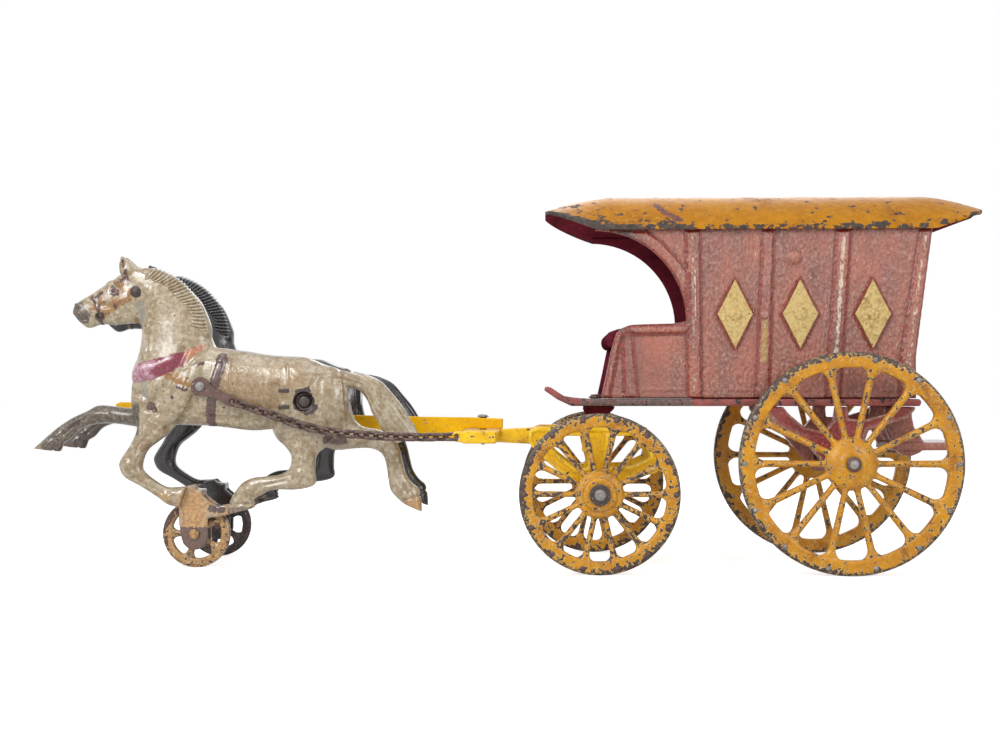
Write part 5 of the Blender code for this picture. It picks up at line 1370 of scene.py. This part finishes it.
def sideMesh():
    plan = sidePlan
    step = plan["grid"]
    xs = np.arange(*plan["along"], step)
    zs = np.arange(plan["lowest"], sideTopHere + 1.2, step)
    gridX, gridZ = np.meshgrid(xs, zs, indexing="ij")
    spots = np.stack([gridX.ravel(), np.zeros(gridX.size), gridZ.ravel()], 1)
    outline = sideOutline()
    rim = depthInside(spots, outline)
    raised, band = sideRaised()
    rise, shadow, shadowLine, groove, crest, frameLine = np.zeros((6, len(spots)))
    for number, shape in enumerate(raised + [band]):
        depth = depthInside(spots, shape)
        rise = np.maximum(rise, 0.66 * easing(depth + 0.5) + 0.34 * easing(depth / 2.3))
        groove = np.maximum(groove, nearLine(depth, -1.1, 0.9))
        shadow = np.maximum(shadow, nearLine(depth, -0.2, 1.6))
        # A painted shadow line in the groove beside each raised shape
        shadowLine = np.maximum(shadowLine, nearLine(depth, -0.75, 0.6) * 0.75)
        inner = np.clip((depth - 1.5) / 0.4, 0, 1)
        crest = np.maximum(crest, inner * plan["wear"].get(number, 0.8))
    line = nearLine(rim, 1.5, 0.5) * (rise < 0.2)
    for shape in raised[:4] + [band]:
        frameLine = np.maximum(frameLine, nearLine(depthInside(spots, shape), -2.7, 0.55))
    frameLine *= (spots[:, 2] > 74.5) & (spots[:, 2] < 134.5)
    ledge = nearLine(spots[:, 2], 73.4, 0.7) * (rise < 0.2)
    height = plan["rib"] * rise + 0.3 * frameLine + 0.3 * ledge + 0.1 * line
    height -= 0.45 * groove * (rise < 0.3) * (rim > 1.5)
    height += plan["sandHeight"] * sand(spots[:, 0], spots[:, 2], 1.1)
    height += plan["sandHeight"] * 1.4 * sand(spots[:, 0], spots[:, 2], 4.0, 2.0) * (1 - rise)
    bossX, bossZ = plan["boss"]
    away = np.hypot(spots[:, 0] - bossX, spots[:, 2] - bossZ) / plan["bossRadius"]
    height = np.maximum(height, 1.4 * np.sqrt(np.clip(1 - away * away, 0, 1)))
    height -= plan["round"] * (1 - easing(rim / plan["round"])) ** 2 * (rim < plan["round"])
    height = np.minimum(height, 1.38)
    for x in plan["ornaments"]:
        depth = depthInside(spots, lozenge(x, plan["ornamentAt"]))
        shadow = np.maximum(shadow, nearLine(depth, -0.4, 1.9))
        height = np.where(depth > -0.8, np.minimum(height, 0.05), height)
    front = spots.copy()
    front[:, 1] = -(plan["outer"] - plan["rib"]) - height
    back = spots.copy()
    back[:, 1] = -(plan["outer"] - plan["rib"] - plan["wall"])
    rows, cols = gridX.shape
    index = np.arange(rows * cols).reshape(rows, cols)
    corners = (index[:-1, :-1], index[1:, :-1], index[1:, 1:], index[:-1, 1:])
    quad = np.stack(corners, -1).reshape(-1, 4)
    rimPath = np.concatenate([index[:, 0], index[-1, 1:], index[-2::-1, -1], index[0, -2:0:-1]])
    total = rows * cols
    faces = quad.tolist() + (quad[:, ::-1] + total).tolist()
    faces += [(int(b), int(a), int(a) + total, int(b) + total)
              for a, b in zip(rimPath, np.roll(rimPath, -1))]
    block = bpy.data.meshes.new("sideBlock")
    block.from_pydata(np.concatenate([front, back]).tolist(), [], faces)
    both = np.zeros(total)
    ochre = easing(depthInside(spots, raised[1]) - 0.6) * easing((106 - spots[:, 2]) / 2)
    ochre *= easing((spots[:, 2] - 84) / 2)
    streaks = easing((spots[:, 0] - 63.0) / 6.0)
    calm = 0.75 * (1 - streaks) * (spots[:, 0] > 49) * (spots[:, 2] < 97)
    armTop = (spots[:, 0] < 75) & (spots[:, 2] > 93) & (spots[:, 2] < 103)
    corner = easing((62.0 - spots[:, 0]) / 12.0) * easing((spots[:, 2] - 133.0) / 3.0)
    chip = 0.11 * armTop * easing((1.0 - rim) / 0.8) + 0.17 * corner
    chip += 0.05 * easing((0.9 - rim) / 0.6)
    for name, values in (("deepRed", shadow), ("worn", crest * 0.17 + frameLine * 0.2),
                         ("shadowLine", shadowLine), ("ochre", ochre), ("calm", calm), ("chip", chip)):
        setMark(block, name, np.concatenate([values, both]))
    mesh = cutWith(block, slab(outline, -40, -10), "INTERSECT")
    markEdges(mesh, 3)
    # The back and the arch's edge are painted as the inside is
    inner = [face.normal.y > 0.4 or (face.center.x < 74 and face.center.z > 100.6
                                     and abs(face.normal.y) < 0.4) for face in mesh.polygons]
    mesh.polygons.foreach_set("material_index", np.array(inner).astype(int))
    return mesh


leftSide = sideMesh()
print("side wall", len(leftSide.polygons), "faces")
for side, sign, own in bothSides(leftSide):
    own.shade_smooth()
    own.set_sharp_from_angle(angle=math.radians(48))
    finishPiece(side + "Side", own, bodyPaint, "wagon", "body_paint", side + "_side",
                insidePaint, smooth=False)


def roofStation(x):
    plan = roofPlan
    fromFront, fromRear = x - plan["front"], (plan["rear"] - x) / plan["tail"]
    share = min(max(fromFront / plan["visor"], 0.0), max(fromRear, 0.0), 1.0)
    half = plan["half"] * (1 - (1 - share) ** 2.6) ** (1 / 2.6)
    eave = plan["eave"] + plan["lift"] * (1 - share) ** 1.1
    rise = min(fromFront / (plan["visor"] + 6.5), fromRear, 1.0)
    gap = plan["ridge"] - plan["eave"] - plan["lift"] - plan["thick"]
    return half, eave, plan["ridge"] - gap * (1 - rise) ** 1.5


def roofMesh():
    plan = roofPlan
    ends = [0.012 + 0.988 * (k / 40) ** 1.6 for k in range(41)]
    stations = [plan["front"] + plan["visor"] * s for s in ends]
    stations += list(np.linspace(stations[-1], plan["rear"] - plan["tail"], 96)[1:-1])
    stations += [plan["rear"] - plan["tail"] * s for s in ends[::-1]]
    columns = plan["columns"]
    shape = bmesh.new()
    grids = []
    for level in (0, 1):
        rows = []
        for x in stations:
            half, eave, ridge = roofStation(x)
            row = []
            for j in range(columns + 1):
                v = math.sin(math.pi / 2 * (-1 + 2 * j / columns))
                z = roofLevels(v, eave, ridge)[level]
                if level == 0:
                    y = half * v
                    z -= 0.12 + 0.06 * float(sand(x, y, 3.2)) + 0.05 * float(sand(x, y, 9.0, 4.0))
                row.append(shape.verts.new((x, half * v, z)))
            rows.append(row)
        grids.append(rows)
    upper, lower = grids
    for i in range(len(stations) - 1):
        for j in range(columns):
            shape.faces.new((upper[i][j], upper[i + 1][j], upper[i + 1][j + 1], upper[i][j + 1]))
            shape.faces.new((lower[i][j], lower[i][j + 1], lower[i + 1][j + 1], lower[i + 1][j]))
    for j in range(columns):
        shape.faces.new((upper[0][j], upper[0][j + 1], lower[0][j + 1], lower[0][j]))
        shape.faces.new((upper[-1][j], lower[-1][j], lower[-1][j + 1], upper[-1][j + 1]))
    for i in range(len(stations) - 1):
        shape.faces.new((upper[i][0], lower[i][0], lower[i + 1][0], upper[i + 1][0]))
        shape.faces.new((upper[i][-1], upper[i + 1][-1], lower[i + 1][-1], lower[i][-1]))
    bmesh.ops.recalc_face_normals(shape, faces=shape.faces)
    mesh = meshFrom("roof", shape)
    spots = readSpots(mesh)
    halves = np.array([roofStation(x)[0] for x in spots[:, 0]])
    beside = np.abs(spots[:, 1]) / np.maximum(halves, 0.5)
    tips = np.minimum(spots[:, 0] - plan["front"], plan["rear"] - spots[:, 0])
    setMark(mesh, "chip", 0.1 * easing((beside - 0.955) / 0.03) + 0.07 * easing((5 - tips) / 5)
            + 0.04 * easing((beside - 0.86) / 0.1)
            + 0.05 * easing((60 - spots[:, 0]) / 20) * easing((beside - 0.9) / 0.08)
            + 0.06 * easing((40 - spots[:, 0]) / 14)
            + 0.1 * easing((58 - spots[:, 0]) / 20) * easing((beside - 0.84) / 0.1))
    scar = nearPath(spots, [(62.5, 149.8), (65.4, 146.4), (71.4, 142.6)])
    setMark(mesh, "scar", np.clip(1.7 - scar, 0, 1) * (spots[:, 1] < 0))
    # Paler along the ridge and near the tips
    setMark(mesh, "worn", 0.05 * easing((9 - tips) / 9) + 0.07 * easing((0.5 - beside) / 0.3))
    under = [face.normal.z < -0.1 for face in mesh.polygons]
    mesh.polygons.foreach_set("material_index", np.array(under).astype(int))
    mesh.shade_smooth()
    mesh.set_sharp_from_angle(angle=math.radians(50))
    markEdges(mesh, 2)
    return mesh


finishPiece("roofCover", roofMesh(), roofPaint, "wagon", "roof_paint", "roof", insidePaint,
            smooth=False)
print("sides and roof are on")

# Rivets, pins and axles, laid out as the castings above are
smallPlan = {
    "bodyTieRivet": ("body_tie_rivet", 0.24, rivetPaint, "wagon", "bare_steel"),
    "rearAxle": ("rear_axle", 0.36, brownIron, "wagon", "bare_iron"),
    "kingPin": ("kingpin", 0.26, brownIron, "wagon", "bare_iron"),
    "frontAxle": ("front_axle", 0.34, bareSteel, "front_truck", "bare_iron"),
    "leftFrontWasher": ("left_front_washer", 0.2, sootyIron, "front_truck", "bare_iron"),
    "rightFrontWasher": ("right_front_washer", 0.2, sootyIron, "front_truck", "bare_iron"),
    "poleRivet": ("pole_rivet", 0.22, bareSteel, "front_truck", "bare_steel"),
    "frontTeamPin": ("front_team_pin", 0.26, brownIron, "front_truck", "bare_iron"),
    "rearTeamPin": ("rear_team_pin", 0.26, sootyIron, "front_truck", "bare_iron"),
    "leftTeamAxle": ("left_team_axle", 0.2, rustyWheel, "front_truck", "bare_iron"),
    "rightTeamAxle": ("right_team_axle", 0.2, brownIron, "front_truck", "bare_iron"),
    "leftStrapRivet": ("left_strap_rivet", 0.18, bareSteel, "front_truck", "bare_steel"),
    "rightStrapRivet": ("right_strap_rivet", 0.18, bareSteel, "front_truck", "bare_steel"),
}

for pieceName, (node, size, finish, body, slotName) in smallPlan.items():
    shape = castingFrom(node, size, 2)
    if node == "rear_axle":
        spots = readSpots(shape)
        x, _, z = wheelPlans["RearWheel"]["at"]
        away = np.hypot(spots[:, 0] - x, spots[:, 2] - z)
        setMark(shape, "bright", np.clip(2.2 - away, 0, 1))
    finishPiece(pieceName, shape, finish, body, slotName, node)

for side in ("left", "right"):
    for label in ("front", "middle", "rear"):
        node = side + "_" + label + "_ornament"
        shape = castingFrom(node, 0.24)
        finishPiece(side + label.capitalize() + "Ornament", shape, giltPaint, "wagon",
                    "gilt_paint", node)
print("ornaments, pins and rivets are in")

# Places on a strap are (x, z), those of the chain's route (x, y, z)
strapPlan = {"rivet": (-124.0, 74.7), "end": (-110.9, 68.7), "inner": 31.1, "thick": 1.1,
             "half": 2.2, "eye": 3.9, "hook": 1.2}


def strapMesh():
    # A tapering iron tug with an eye round the rivet and a smaller eye for the chain
    plan = strapPlan
    rivet, end = Vector(plan["rivet"]), Vector(plan["end"])
    along = (end - rivet).normalized()
    across = Vector((-along.y, along.x))
    outline = [(16.5, 0), (16.1, 1.4), (15.0, 2.2), (13.4, 2.4), (11.4, 2.0), (8.0, 1.9),
               (4.6, plan["half"])]
    outline += [(plan["eye"] * math.cos(math.radians(a)), plan["eye"] * math.sin(math.radians(a)))
                for a in range(44, 181, 17)]
    outline += [(reach, -spread) for reach, spread in outline[-2:0:-1]]
    points = [rivet + along * a + across * b for a, b in outline]
    plate = meshFrom("strap", slab([(p.x, p.y) for p in points], -plan["inner"] - plan["thick"],
                                   -plan["inner"]))
    holes = [rod(1.35, -40, -25, 20, (rivet.x, 0, rivet.y)),
             rod(plan["hook"], -40, -25, 16, (end.x, 0, end.y))]
    mesh = melted(cutWith(plate, joined(holes)), 0.2)
    relaxed(mesh, 2)
    markEdges(mesh)
    return mesh


chainPlan = {
    "route": [(-110.9, 31.7, 68.7), (-99.2, 33.0, 65.0), (-91.1, 33.2, 62.0), (-82.9, 33.2, 59.2),
              (-74.8, 33.2, 57.2), (-66.6, 33.2, 55.9), (-50.4, 33.2, 54.6), (-34.1, 32.6, 54.2),
              (-19.2, 31.6, 54.4)],
    "links": 23, "wide": 4.8, "wire": 0.75, "bite": 0.25, "around": 16, "sides": 6,
}


def routePoint(left):
    points = [Vector(p) for p in chainPlan["route"]]
    for a, b in zip(points, points[1:]):
        reach = (b - a).length
        if left <= reach or b is points[-1]:
            return a + (b - a) * (left / reach)
        left -= reach


def linkShape(length):
    # A flattened oval link lying in the XY plane, pinched a little at its waist
    plan = chainPlan
    bow = plan["wide"] / 2 - plan["wire"]
    straight = length / 2 - plan["wide"] / 2
    shape = bmesh.new()
    rings = []
    for k in range(plan["around"]):
        turn = 2 * math.pi * (k + 0.5) / plan["around"]
        radial = Vector((math.cos(turn), math.sin(turn), 0))
        pinch = 1 - 0.1 * abs(math.sin(turn)) ** 6
        middle = Vector((math.copysign(straight, math.cos(turn)), 0, 0))
        middle += Vector((radial.x * bow, radial.y * bow * pinch, 0))
        ring = []
        for j in range(plan["sides"]):
            bend = 2 * math.pi * (j + 0.5) / plan["sides"]
            ring.append(shape.verts.new(middle + radial * plan["wire"] * math.cos(bend)
                                        + Vector((0, 0, plan["wire"] * math.sin(bend)))))
        rings.append(ring)
    bridge(shape, rings + rings[:1])
    bmesh.ops.recalc_face_normals(shape, faces=shape.faces)
    bmesh.ops.rotate(shape, verts=shape.verts, matrix=Matrix.Rotation(math.pi / 4, 3, "X"))
    return shape


def chainMesh():
    plan = chainPlan
    points = [Vector(p) for p in plan["route"]]
    whole = sum((b - a).length for a, b in zip(points, points[1:]))
    pitch = (whole - 2 * plan["wire"] + plan["bite"]) / plan["links"]
    length = pitch + 4 * plan["wire"] - plan["bite"]
    start = length / 2 - plan["wire"]
    steps = (plan["links"] - 1) * 8
    path = []
    for k in range(steps + 1):
        spot = routePoint(start + pitch * (plan["links"] - 1) * k / steps)
        path.append((spot.x, -spot.y, spot.z))
    mesh = repeatAlong(path, linkShape(length), plan["links"], chainIron,
                       **{"Turn Each": math.pi / 2, "Jitter": 0.06, "Seed": 11})
    markEdges(mesh, 1)
    return mesh


strap, chain = strapMesh(), chainMesh()
print("chain", len(chain.polygons), "faces")
for (side, _, ownStrap), (*_, ownChain) in zip(bothSides(strap), bothSides(chain)):
    finishPiece(side + "TugStrap", ownStrap, brownIron, "front_truck", "strap_iron",
                side + "_tug_strap")
    finishPiece(side + "TraceChain", ownChain, chainIron, "front_truck", "chain_iron",
                side + "_trace_chain")
print("straps and chains are hung")

print("everything rides with the frame")
